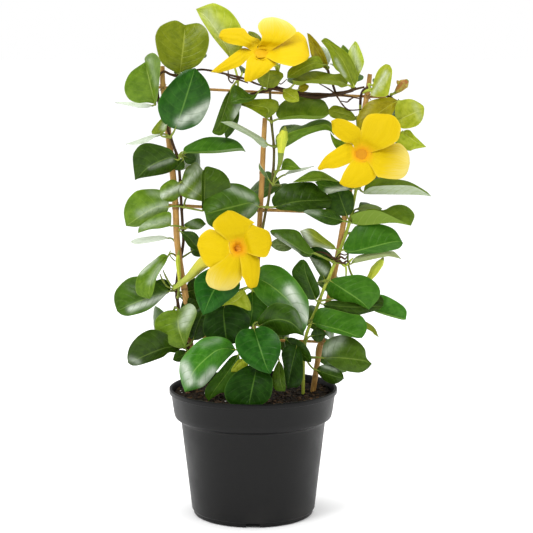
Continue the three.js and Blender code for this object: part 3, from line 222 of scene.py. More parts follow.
# Shine spots are highlights painted into a leaf's colour; the sheen given for a leaf's underside is
# painted over the face that shows it.
LEAF_GROUPS = [
  leaves_at("left_01", "left", (176, 75), (0, 0, 1),
    traced((180, 73, 1), (185, 25, 12), 6, "olive", (12, 14),
      [(174, 71.5), (166, 67), (159.5, 59), (155.2, 40), (157, 31), (162, 25), (175, 20.3)],
      [(196, 66.5), (203, 59.5), (207.5, 50), (209.2, 40), (207.5, 31), (203, 25.5), (197, 23)],
      [(183.5, 45)], curl=0.1),
    leaf((180, 71, 14), (194, 60, 60), 42, 60, 12, 6, "moss")),
  leaves_at("left_02", "left", (158.5, 100), (-1, 0, 0),
    traced((155, 104, -2), (145, 62, -12), 4, "fresh", (5, 62),
      [(147, 102.5), (138, 103), (130, 100), (125.5, 94), (124.3, 87), (126.5, 79), (132, 71)],
      [(157.5, 98), (160.5, 66), (159.5, 58.5), (154, 53), (148.5, 54), (144.7, 58)], [(149.5, 80)],
      shine=[(150, 60, 156, 84, 2.5, 0.2)]),
    traced((153, 105.5, 12), (115, 102.5, 36), 4, "grey", (66.8, -50.8), [(148, 107.5), (138, 107.5)],
      [(146, 103.3), (125, 101.8)], [(135, 105)], under=True, silver=1)),
  leaves_at("left_03", "left", (170.5, 137), (0, -1, 0),
    traced((175, 129, -5), (195, 68, -16), 5, "vivid", (8, -14),
      [(168, 126), (161, 119), (158, 103), (168, 86), (183, 71.5)],
      [(184, 130), (197, 125), (204, 117), (209, 106), (210.7, 96), (209, 86), (204, 77)], [(183, 107)],
      curl=0.3, shine=[(180, 122, 209, 105, 4.5, 0.85), (196, 121, 207, 112, 3, 0.5)]),
    traced((162, 134, -2), (126, 144, 14), 3, "grey", (74.9, -58.9),
      [(155, 137), (147, 142), (136, 144.5)], [(150, 135.5)], [(138, 141.5)], under=True, silver=0.9),
    traced((161, 134, -3), (169.5, 112, -5), 1, "olive", (20, 50), [(151, 133.3), (158, 122)],
      [(165.5, 131), (167, 125)], [(162, 127)], shine=[(163, 128, 168, 118, 2.5, 0.6)])),
  leaves_at("left_04", "left", (177, 156), (0.7, -0.7, 0),
    traced((178, 160, -3), (135, 180, -12), 5, "dark", (-42, 12),
      [(177, 166), (172, 171), (162, 174.5), (141, 178)],
      [(174, 153), (168, 148), (150, 143), (141, 144.5), (135.5, 150), (132.7, 158)],
      [(168, 158), (149, 167)], shine=[(150, 168, 172, 160, 2, 0.3)]),
    traced((183, 152, 1), (245.5, 151.5, -8), 6, "mid", (-48, 79),
      [(186, 146), (205, 137.5), (225, 137.5), (235, 140), (241, 144.5)], [(217, 150.5), (240, 148)],
      [(215, 152.6), (240, 150.3)]),
    leaf((186, 160, 18), (200, 172, 62), 38, 50, 12, 6, "moss"),
    leaf((183, 160, 4), (175, 170, 2), 12, 10, 10, 1, "dark"),
    leaf((184, 156, 6), (196, 160, 10), 12, 0, 10, 1, "dark"),
    leaf((192, 153, 12), (181, 170, 18), 12, 0, 10, 1, "grey", under=True, silver=0.9)),
  leaves_at("left_05", "left", (180, 182), (0.7, -0.7, 0),
    traced((181, 182, 1), (213, 203, 12), 4, "fresh", (-20, 38),
      [(186, 168.5), (196, 162.8), (206, 175), (211, 188)], [(179, 190), (182, 196), (190, 199)],
      [(193, 191)],
      curl=0.5,
      shine=[(181, 189, 200, 168, 3, 0.75), (192, 196, 203, 184, 3, 0.45), (187, 172, 196, 165, 2, 0.4)]),
    traced((180, 183, -2), (163, 200, -9), 3, "fresh", (-38, 24),
      [(182, 188), (181, 194), (177, 199), (171, 202)], [(171.5, 179.5), (160.5, 187), (160.5, 197)],
      [(175, 187)], curl=0.45, shine=[(161, 196, 180, 187, 3, 0.75)])),
  leaves_at("left_06", "left", (181.5, 207), (0.7, -0.7, 0),
    traced((169, 207, 2), (126, 226, 16), 5, "fresh", (-35, 8), [(167, 212), (160, 218), (139, 226.5)],
      [(168, 198), (163, 192), (156, 189), (139, 190), (131, 195.5), (126, 203), (123.8, 213)],
      [(160, 206), (150, 210)], shine=[(140, 214, 166, 204, 4, 0.42), (150, 192, 162, 196, 3, 0.25)]),
    traced((203, 211, 2), (205, 167.5, -2), 4, "moss", (68, 6), [(201.8, 205), (201.8, 176)],
      [(212, 212), (222, 204), (229, 194), (230.5, 184), (227, 176), (220, 170), (208, 166.3)],
      [(203.8, 200)], bend=0),
    leaf((188, 197, 20), (214, 192, 66), 44, 60, 12, 6, "moss")),
  leaves_at("left_07", "left", (182.7, 228), (0.7, -0.7, 0),
    traced((171, 226, -4), (138, 233, -14), 3, "fresh", (20, -25), [(160, 228.5), (150, 229.5)],
      [(171, 213), (165, 212), (155, 215.5), (140, 226)], [(162, 222)],
      shine=[(142, 226, 168, 220, 3.5, 0.4)]),
    traced((180, 231, -3), (200, 251, -9), 2, "dark", (20, 35), [(194, 232), (200, 240)],
      [(187, 244), (193, 249.5)], [(188, 237)]),
    traced((187, 228, 5), (206, 224, 8), 2, "moss", (-30, 62),
      [(184, 224.5), (194, 218.8), (201, 218.7)], [(192, 229.5), (200, 229)], [(192, 226)],
      shine=[(190, 222, 202, 228, 2.5, 0.25)])),
  leaves_at("left_08", "left", (180.5, 260), (-0.3, 0.95, 0),
    traced((168, 256, 2), (150, 299, -8), 5, "fresh", (52, 6), [(166, 262), (157, 277), (153, 293)],
      [(163, 253.7), (157, 257.5), (142, 270), (137, 278), (135.5, 287), (138, 295)],
      [(154, 273), (149, 292)], shine=[(141, 273, 156, 259, 2, 0.6), (150, 282, 160, 266, 3, 0.35)]),
    leaf((191, 252, 18), (207, 243, 9), 20, 20, 8, 2, "dark"),
    traced((169, 238, 24), (130, 242, 36), 3, "grey", (60, -60), [(160, 240.5), (138, 244)],
      [(160, 235.5), (138, 238)], [(160, 238)], under=True, silver=1)),
  leaves_at("left_09", "left", (176.8, 291), (-0.7, 0.7, 0),
    traced((170, 291, 5), (117, 311, 4), 6, "moss", (28, -14), [(150, 309), (131, 315.6), (122, 315)],
      [(161, 283), (150, 277.5), (137, 276.3), (128, 278.5), (120, 285), (114.7, 293), (114.3, 302)],
      [(140, 301)], curl=0.4, shine=[(130, 309, 168, 295, 3, 0.8)]),
    leaf((186, 292, 20), (206, 286, 34), 26, 20, 8, 3, "dark"),
    leaf((184, 298, 22), (192, 322, 68), 44, 40, 12, 6, "moss"),
    leaf((170, 291, 9), (153, 283, 6), 17, 0, 10, 2, "dark"),
    leaf((184, 300, 8), (199, 312, 2), 16, 0, 10, 2, "dark")),
  leaves_at("left_10", "left", (178.3, 307), (-0.8, -0.6, 0),
    traced((178, 310, -1), (185.5, 348, -12), 4, "fresh", (46, 4),
      [(190, 303.4), (196.8, 312), (191, 329)],
      [(165, 311.3), (155, 321), (157.5, 335.5), (173, 346.3)], [(178.8, 328)],
      shine=[(183, 324, 192, 307, 5, 0.6)]),
    leaf((168, 318, 14), (156, 332, 56), 42, 50, 12, 6, "moss")),
  leaves_at("left_11", "left", (187, 348), (-0.7, -0.7, 0),
    traced((181, 348, -3), (128, 363, -14), 5, "dark", (-30, 10),
      [(176, 352.5), (169, 352.5), (162, 357.5), (142, 364.5), (133, 365.7)],
      [(172, 338), (162, 331.5), (152, 329.3), (143, 332.5), (135, 339), (129.5, 347), (127.3, 356)],
      [(165, 348)], shine=[(131, 359, 138, 362, 3, 0.4)]),
    leaf((187, 352, -4), (173, 360, -9), 12, 0, 8, 1, "dark"),
    leaf((193, 340, -3), (205, 308, -4), 28, 10, 8, 3, "dark")),
  leaves_at("top_01", "left", (238, 77), (0, 0.3, -0.95),
    traced((231, 89, 2), (212, 132, -2), 4, "moss", (40, 25),
      [(239, 97), (241, 107), (229, 127), (222, 135), (215, 134.5)], [(226, 95), (221, 106)],
      [(220, 123)], shine=[(235, 116, 240, 103, 3, 0.55)]),
    traced((230, 58, 16), (196, 9, 32), 5, "lime", (48, 8), [(213.5, 38), (201.5, 20)],
      [(238, 53), (243, 45), (242, 29), (231, 12), (217, 4), (210, 3.7)], [(227, 48), (209, 20.5)],
      shine=[(206, 14, 231, 46, 5, 0.3)]),
    leaf((236, 102, 8), (226, 138, 6), 13, 0, 8, 2, "moss"),
    leaf((242, 73, 20), (238, 63, 60), 15, 65, 12, 2, "moss")),
  leaves_at("top_02", "middle", (262, 91.5), (0, -0.6, 0.8),
    traced((267, 88, -2), (270, 70, -8), 2, "olive", (20, 20), [(262, 86), (257, 79.5), (261, 73.5)],
      [(275, 87), (281.5, 79.5), (284, 74.5), (277, 70.5)], [(269, 76)]),
    traced((259, 91, -3), (231, 102, -13), 5, "moss", (30, -10), [(253, 100), (237, 104)],
      [(252, 95), (239, 86.3), (233.5, 85.3), (230.5, 92)], [(250, 99), (240, 99)]),
    leaf((263, 48, 4), (248.5, 31.5, 10), 11, 0, 10, 1, "olive")),
  leaves_at("top_03", "middle", (290, 91), (0, -0.8, 0.6),
    leaf((284, 91, -2), (299, 101, -10), 15, 20, 8, 2, "lime"),
    leaf((298, 90, -2), (309, 86, -4), 9, 20, 8, 1, "golden"),
    leaf((294, 84, 16), (306, 72, 58), 22, 60, 12, 3, "moss")),
  leaves_at("top_04", "middle", (328, 71), (0, 0.2, 1),
    traced((326, 69, 4), (307, 33, 6), 3, "golden", (30, 40), [(316, 64), (311, 55)],
      [(327.5, 62), (321, 47), (311, 35)], [(322, 58)]),
    traced((324, 65, -2), (287, 78, -9), 4, "olive", (25, -25),
      [(322, 68), (313, 70), (304, 73.5), (296, 78)],
      [(319, 56.5), (311, 57), (303, 61.5), (294, 65.5), (288, 71)], [(315, 63), (303, 68)]),
    traced((327, 67, 8), (320, 46, 12), 2, "grey", (-30, -30), [(321, 54)],
      [(330.5, 60), (330.5, 54), (326, 48.5)], [(325, 52)], under=True, silver=0.7)),
  leaves_at("top_05", "middle", (352, 90), (0, -0.4, 0.9),
    traced((347, 85, -2), (292, 80, -10), 5, "olive", (74, -48),
      [(340, 81.5), (315, 79.5), (303, 81.5)],
      [(348, 79), (342, 73.7), (333, 74), (315, 70.8), (299, 74.5)],
      [(341, 86.5), (335, 84.3), (309, 82.7), (301, 84.8), (295, 84)]),
    traced((354, 86, -2), (321, 41, -5), 4, "olive", (22, 10),
      [(347, 81), (340, 73), (334, 67), (329, 52)],
      [(358, 80), (357.3, 72), (349, 55), (336, 44.5), (326, 38)], [(344, 63), (330, 45)],
      shine=[(336, 60, 345, 76, 1.6, 0.5)]),
    traced((356, 81, 1), (355, 41, 2), 3, "lime", (32, 32), [(349, 60), (349, 50)],
      [(363.3, 66), (363.5, 58), (358, 44)], [(355, 55)], shine=[(353, 48, 359, 68, 3, 0.5)]),
    leaf((352, 80, 9), (343, 45, 13), 16, 0, 8, 3, "fresh"),
    leaf((350, 82, 18), (341, 70, 64), 38, 55, 12, 6, "moss")),
  leaves_at("middle_01", "middle", (271.5, 122), (0, -1, 0),
    traced((267, 119, 0), (231, 103, -5), 4, "olive", (45, -12), [(248, 107.8)],
      [(274, 114), (278.5, 108), (278, 101.5), (268, 98.7), (237, 100.5)], [(268, 109), (257, 106)]),
    traced((279, 119, 0), (330, 113, -4), 5, "fresh", (-40, 74),
      [(276, 114), (278, 107), (284, 101), (292, 97), (302, 96), (321, 99.3), (327, 105)],
      [(288, 116.5), (300, 115.5), (322, 116)], [(298, 118.2), (320, 118.7)])),
  leaves_at("middle_02", "middle", (273.7, 146), (0.6, -0.8, 0),
    traced((269, 145, -5), (221, 122, -20), 4, "grey", (-30, -60),
      [(264, 147.8), (257, 142.7), (249, 136.3)], [(262, 137.5), (238, 124), (230, 121.3)],
      [(234, 124.5)], under=True, silver=0.4),
    traced((283, 147, 3), (334, 135, 4), 5, "fresh", (-58, 4),
      [(277, 146), (275.5, 140), (278, 134), (292, 127.3), (303, 125.3), (311, 121.5), (320, 119.3),
       (328, 120.5), (333, 126)], [(287, 146.5), (305, 136), (321, 130.6), (329, 130.8)],
      [(284, 138), (293, 131.5), (322, 124.6), (330, 127.5)]),
    leaf((283, 138, 20), (301, 126, 62), 24, 55, 12, 4, "moss")),
  leaves_at("middle_03", "middle", (270.5, 185), (0.6, -0.8, 0),
    traced((269, 180, 0), (259, 163, -5), 2, "grey", (40, 40), [(264, 176), (259, 169)],
      [(266, 173), (261, 167)], [], silver=0.8),
    traced((281, 170, -1), (301, 169, -5), 1, "fresh", (-20, 50), [(283, 161), (287, 158), (292, 160)],
      [(294, 170)], [(287, 166)]),
    traced((284, 175, 6), (314, 166, 12), 3, "grey", (-70, 70), [(292, 168.5), (301, 168)],
      [(303, 170.5)], [(293, 170.5)], under=True, silver=1),
    leaf((280, 186, 20), (246, 196, 64), 42, 55, 12, 6, "moss")),
  leaves_at("middle_04", "middle", (266.8, 207), (0, -1, 0),
    traced((259, 207, -3), (205, 214, -13), 6, "moss", (10, -24),
      [(255, 214), (245, 222), (232, 228), (218, 229), (208, 224)],
      [(259.5, 201), (255.5, 193), (240, 184), (222, 184), (213, 189), (206, 197), (203, 206)],
      [(250, 203), (240, 205)],
      curl=0.45, shine=[(226, 186, 252, 198, 3, 0.45), (244, 216, 256, 205, 3, 0.3)]),
    traced((274, 207, -3), (332, 200, -3), 6, "dark", (-16, 24),
      [(271.8, 201), (274, 195), (285, 185.5), (292, 183), (310, 182), (317, 185.5), (329, 196)],
      [(280, 210), (291, 210.5), (302, 212), (322, 209), (330, 206.5)], [(298, 201.5)], curl=0.35),
    leaf((280, 206, 20), (306, 196, 68), 44, 50, 12, 6, "moss")),
  leaves_at("front_01", "middle", (253, 275), (0, -1, 0),
    traced((229, 268, -18), (203, 315, -34), 5, "vivid", (-8, 14),
      [(238, 278), (240, 287), (234, 296), (215, 310)],
      [(220, 266), (209, 268.5), (195, 279), (196, 298)], [(222, 281), (213, 292)], curl=0.15),
    traced((255, 277, -8), (304, 332, -28), 9, "bright", (14, 4),
      [(258, 270), (265, 264.6), (281, 267), (295, 279), (306, 295), (309, 304), (307.5, 323)],
      [(252, 285), (257, 296), (267, 306), (279, 315), (290, 325), (298, 330)],
      [(270, 285), (288, 300), (296, 312)],
      curl=0.42, shine=[(289, 290, 306, 318, 5, 0.9), (280, 300, 296, 312, 3, 0.2)])),
  leaves_at("front_02", "middle", (261, 304), (0.8, -0.6, 0),
    traced((244, 289, -8), (222, 306, -20), 3, "lime", (10, 10),
      [(250, 302), (250.5, 311), (241, 307.3), (231, 304.5)], [(238, 292)], [(241, 296), (233, 302)]),
    traced((252, 291, -4), (250, 327, -9), 3, "mid", (15, 15), [(262, 298), (268, 311), (261, 323)],
      [(246, 296), (242, 310), (243.5, 320)], [(252.5, 307)]),
    leaf((274, 296, 22), (284, 294, 70), 44, 65, 12, 6, "moss")),
  leaves_at("front_03", "middle", (263.5, 322), (0.8, -0.6, 0),
    traced((254, 329, -30), (270.5, 374, -54), 6, "vivid", (12, 14),
      [(262, 326.2), (271, 329), (278.5, 336.5), (281, 346), (279.3, 357)],
      [(247, 328.7), (240, 331), (235.6, 338), (235.7, 347.5), (240.5, 357), (249, 365), (260, 371)],
      [(265, 363)], curl=0.12),
    traced((259, 326, -24), (304, 336, -42), 7, "dark", (10, -30),
      [(258, 320), (263, 312.5), (270, 305.5), (279, 302.7), (296, 309), (303, 327)],
      [(275, 334), (285, 335.5), (295, 333.5)],
      [(268, 321.3), (278, 319.3), (288, 321.2), (296, 326.5)], shine=[(294, 312, 301, 326, 2.5, 0.12)]),
    leaf((276, 336, 24), (288, 350, 68), 46, 62, 12, 6, "moss"),
    leaf((262, 318, 10), (250, 300, 8), 24, 0, 10, 3, "mid")),
  leaves_at("front_04", "middle", (243, 349.5), (-0.8, -0.5, 0.3),
    traced((236, 350, -27), (185, 392, -50), 9, "bright", (10, 6),
      [(222, 364.5), (209, 381), (201, 387.5)],
      [(230, 341), (221, 337), (210, 336.8), (199, 340.5), (182.5, 357.5), (179.2, 369), (181, 381)],
      [(224, 348.7), (213, 352.8), (194, 371)],
      curl=0.5,
      shine=[(184, 366, 190, 381, 5, 0.9), (201, 383, 213, 371, 4, 0.8), (203, 345, 219, 340, 3, 0.2)]),
    traced((239, 354, -24), (208.5, 401, -40), 4, "mid", (14, 12),
      [(241, 368), (236, 380), (227, 391), (219, 393.5)],
      [(231, 357), (223, 366), (207.5, 385), (204.8, 394)], [(232, 366), (214, 391)]),
    traced((244, 358, -27), (231, 372, -35), 2, "lime", (15, 15),
      [(249, 362), (246, 368), (238, 371.5)], [(238, 360), (232, 368)], [])),
  leaves_at("front_05", "middle", (266.5, 361.5), (0, 0, 1),
    traced((257, 366, -34), (249, 406, -60), 6, "deep", (14, 16),
      [(271.5, 377), (271.5, 394), (266, 402), (258, 406)],
      [(249, 365.3), (240, 369.5), (231, 377), (225.3, 386.5), (224.8, 396), (231, 404)],
      [(250.5, 397)], curl=0.2),
    traced((279, 360, -30), (284.5, 391.5, -50), 3, "moss", (30, 12), [(283.5, 368), (285.8, 387)],
      [(275, 367), (272.5, 376), (273, 385), (276, 390.5)], [(280.5, 381)])),
  leaves_at("front_06", "middle", (252.7, 287), (-1, 0, 0),
    traced((225, 304, -6), (227, 344, -18), 5, "deep", (14, 12),
      [(233, 303.5), (248.5, 315), (250, 325), (245, 335), (236, 343)],
      [(215, 306.5), (207, 313), (203.3, 322), (203.5, 333), (211, 341)], [(223.5, 315)], curl=0.2),
    leaf((240, 294, 22), (228, 318, 70), 46, 40, 12, 6, "moss")),
  leaves_at("right_01", "right", (369, 88.2), (0, -0.3, 0.95),
    traced((371, 91, 0), (390, 65.3, -5), 3, "lime", (28, 12), [(377, 72), (385, 64.3)],
      [(371.5, 96), (386.5, 96.3), (389.5, 90), (392.3, 72)], [(377, 85)],
      shine=[(373, 94, 386, 72, 2, 0.6), (380, 90, 389, 74, 1.5, 0.4)]),
    leaf((376, 85, 14), (384, 80, 58), 15, 60, 12, 3, "moss")),
  leaves_at("right_02", "right", (399.5, 111), (0.5, -0.85, 0),
    traced((399, 101, 2), (359, 130, -3), 3, "golden", (14, -8), [(391, 116), (382, 124), (370, 130)],
      [(393, 98), (386, 97.4), (369, 101.5), (358.5, 114), (356.8, 121)], [(390, 105), (367, 122)]),
    traced((396.5, 121, 2), (424.3, 109, -9), 3, "lime", (12, 14),
      [(395, 114), (395.5, 106), (399, 101), (411, 99), (422.5, 105)],
      [(402, 128.5), (415, 126.8), (421, 122), (423.7, 115.5)], [(414, 113)],
      shine=[(415, 104, 420, 118, 3, 0.2)]),
    leaf((403, 114, 14), (392, 118, 58), 36, 50, 12, 5, "moss")),
  leaves_at("right_03", "right", (398.7, 134), (0.8, 0.6, 0),
    traced((402, 132, 8), (426.3, 147, 2), 3, "lime", (18, 12),
      [(406, 129.7), (410.5, 130.5), (414, 135)], [(397.5, 138), (397, 143), (408, 150.8), (415, 149)],
      [(418, 143)]),
    leaf((396, 142, 16), (402, 152, 52), 34, 55, 12, 5, "moss")),
  leaves_at("right_04", "right", (360.2, 118), (-1, 0, 0),
    traced((357, 119, 4), (328, 110, -3), 2, "olive", (40, -20), [(352, 121), (336, 118.8), (330, 116)],
      [(350, 110.5), (335, 105.3)], [(348, 115)]),
    traced((352, 144, 9), (330, 132, 3), 2, "fresh", (15, 15), [(345, 149), (337, 149), (332, 141)],
      [(335, 138)], [(344, 144), (336, 139)])),
  leaves_at("right_05", "right", (356.4, 188), (0.7, -0.7, 0),
    traced((363.5, 192, 3), (431, 196, -3), 5, "fresh", (-40, 55),
      [(365, 186), (370, 181.5), (378, 178.5), (388, 178.3), (408, 181.3), (425, 190.5)],
      [(370, 187.5), (380, 185.8), (404, 185.3), (416, 187.3)], [(370, 193.4), (416, 194.3)], silver=0.6),
    traced((343, 184, 0), (293, 182, -9), 4, "fresh", (66, -40), [(336, 181), (318, 178.5)],
      [(325, 173), (317, 170.8), (309, 172)], [(337, 185), (320, 181)]),
    leaf((364, 184, 18), (380, 176, 64), 42, 50, 12, 6, "moss"),
    traced((356, 189, -6), (315, 182, -16), 2, "dark", (40, -30),
      [(338, 191.5), (329, 194), (321, 190)], [(343, 182.5), (324, 180.5)], [(325, 186)],
      curl=0.3, shine=[(328, 191, 346, 188.5, 2.5, 0.7)])),
  leaves_at("right_06", "right", (349.3, 222.5), (0.7, -0.7, 0),
    traced((354, 220, 0), (411, 225.5, -4), 5, "fresh", (-30, 40),
      [(353, 213.5), (362, 210), (374, 208.8), (384, 210), (391, 206.3), (398, 204.6), (405, 205.5),
       (411, 209.5), (414.6, 216)], [(351, 215.5), (364, 211), (380, 211.2)],
      [(353, 222.5), (362, 224.2), (392, 222.6)]),
    traced((344, 221, -7), (303, 212, -22), 4, "dark", (20, -20),
      [(337, 225), (329, 225), (320, 221.7)], [(337, 213), (328, 209.3), (309, 209.5)], [(311, 213)],
      shine=[(304, 211, 318, 213, 2.5, 0.3)]),
    traced((347, 216, 0), (337, 188, 1), 2, "dark", (14, 14), [(334, 215), (325, 208), (326, 196)],
      [(352, 213), (354, 205), (353, 194), (346, 188.5)], [(344, 208)]),
    leaf((361, 212, 20), (382, 212, 62), 26, 60, 12, 3, "moss"),
    leaf((357, 209, 8), (382, 208.5, 12), 10, 30, 10, 2, "grey", under=True)),
  leaves_at("right_07", "right", (340, 250), (0, -1, 0),
    traced((343, 250, -2), (403, 243, -8), 5, "mid", (-12, -24),
      [(344.5, 243), (353, 229), (359, 224.7), (378, 223.7), (394, 229.3)],
      [(350, 253.8), (376, 253.3), (396, 249.5), (401, 246.7)], [(355, 251.3), (393, 241.8)], curl=0.25),
    traced((336, 249, -3), (300, 231, -10), 4, "olive", (-48, 8),
      [(330, 249.3), (317, 246.7), (311, 247.3), (306, 242.5)],
      [(334, 245), (325, 238), (314, 229.5), (307, 228.4)], [(328, 246), (308, 232.5)],
      shine=[(304, 232, 311, 244, 3.5, 0.8), (314, 244, 330, 249, 2, 0.5)])),
  leaves_at("right_08", "right", (335, 262), (-0.7, -0.7, 0),
    traced((315, 253, -4), (270, 231.5, -15), 4, "moss", (-55, -14),
      [(309, 257), (303, 256.5), (296, 251), (274, 236.3)],
      [(304, 239), (299, 231.7), (290, 229), (273, 229.6)], [(305, 252.5), (276, 234)],
      shine=[(276, 236, 298, 253, 2, 0.6)]),
    traced((351, 264, 0), (401.5, 259, 6), 4, "olive", (-30, -30),
      [(353, 259.5), (358, 255.7), (366, 253.8), (388, 251.4), (394, 251.6)],
      [(382, 257.4), (390, 256.5)], [(360, 258.5), (385, 254)], under=True, silver=0.25),
    leaf((292, 247, 2), (270, 244, -4), 14, 20, 10, 2, "grey"),
    traced((335, 260, 2), (308, 250, 8), 2, "deep", (-20, 20), [(329, 260.5), (320, 259.5), (312, 257)],
      [(331, 254), (324, 248.5), (314, 246.5)], [(321, 254)])),
  leaves_at("right_09", "right", (327.5, 281), (-0.9, -0.4, 0),
    traced((330, 280.5, -3), (369, 309.5, -12), 4, "mid", (10, -38),
      [(336, 277.6), (357, 274.6), (368, 277.2), (376, 283), (380.3, 291), (378, 299.5)],
      [(326, 289), (331, 298), (343, 301.5), (355, 303)], [(360, 300.8)]),
    traced((325, 280, 5), (309, 256.5, 12), 3, "moss", (20, 10), [(319, 274)],
      [(331, 271), (330, 262), (320, 256.3)], [(320, 269)],
      curl=0.5, shine=[(312, 259, 326, 272, 3, 0.5)]),
    leaf((318, 284, 20), (346, 294, 68), 44, 60, 12, 6, "moss")),
  leaves_at("right_10", "right", (319.5, 300), (0, -1, 0),
    traced((316, 300, -3), (304, 259.5, -8), 4, "dark", (12, 20),
      [(308, 299), (301, 290), (291.7, 273), (299, 261)], [(320, 293), (317, 282), (308, 264)],
      [(306, 274)]),
    traced((322, 304, -1), (383, 306, 2), 5, "dark", (-30, 12),
      [(332, 300.5), (345, 300.6), (370, 297), (379, 294.5), (383.5, 300)],
      [(328, 309.5), (346, 317), (376, 310.5)], [(350, 307)]),
    traced((370, 302, 12), (406, 319.3, 10), 3, "bright", (-20, 55),
      [(376, 296), (384, 295), (400, 303.5), (406.5, 310.5)], [(373, 309.5), (381, 312)],
      [(376, 311), (400, 319)])),
  leaves_at("right_11", "right", (311.5, 320.5), (-0.7, -0.7, 0),
    traced((312, 323, -6), (362, 338, -14), 5, "mid", (-8, 20),
      [(316, 312), (324, 307.5), (352, 314), (361, 315.5), (366.7, 324), (366, 332)],
      [(325, 330.5), (354, 337.6)], [(336, 329)]),
    traced((340, 318, 0), (379, 337.5, 10), 3, "olive", (20, 35), [(355, 317), (373, 326)],
      [(350, 325), (362, 327.5), (371, 331.3), (374.5, 334.8)], [(356, 321.5), (374.5, 331)]),
    leaf((304, 322, 20), (334, 330, 70), 42, 60, 12, 6, "moss"),
    leaf((314, 322, 4), (352, 316, 8), 26, 20, 10, 3, "dark")),
  leaves_at("right_12", "right", (304.5, 345), (0, -1, 0),
    traced((297, 345, -12), (287, 389, -34), 4, "deep", (16, 10),
      [(302, 354), (303, 377), (298.5, 386.5), (292, 387.5)], [(287, 345.5), (281.5, 353), (283, 364)],
      [(291.5, 367)]),
    leaf((311, 336, -1), (326, 334, -1), 15, 0, 8, 1, "dark"),
    leaf((286, 339, -6), (311, 362, -12), 19, -20, 10, 3, "dark")),
  leaves_at("right_13", "right", (304, 356), (0.3, -0.95, 0),
    traced((323, 358, -5), (372, 364, -11), 5, "moss", (-10, 18),
      [(322.5, 350), (325, 342), (332, 337.2), (341, 335), (350, 336.6), (358.5, 341.5), (365, 349),
       (366.5, 357.5)], [(338, 368.6), (357, 372.8), (366, 370)], [(336, 357.6), (362, 360.3)],
      curl=0.3, shine=[(326, 352, 340, 339, 5, 0.45)]),
    traced((316, 370, -6), (344, 378.5, -12), 3, "dark", (-25, -20),
      [(321, 365.3), (329, 364.6), (337, 368), (342.5, 373.3)],
      [(320, 376), (326, 381.5), (333, 384), (339, 382.5)], [(332, 375.5)],
      shine=[(323, 366, 337, 370, 1.6, 0.5)]),
    leaf((316, 358, 20), (344, 354, 70), 44, 45, 12, 6, "moss")),
]


# Flowers. The tube runs from the calyx to the throat as pixel column, row, depth y and radius, and
# "faces" is the way that the open flower looks. A petal's two edges run from the throat to its tip
# as pixel columns and rows, first the edge on its anticlockwise side, then the other.
def petal(tip, arch, first, second, pale=False):
    """One petal's row. A pale petal has a broad light rim."""
    return {"tip": tip, "arch": arch, "edges": [first, second], "pale": pale}


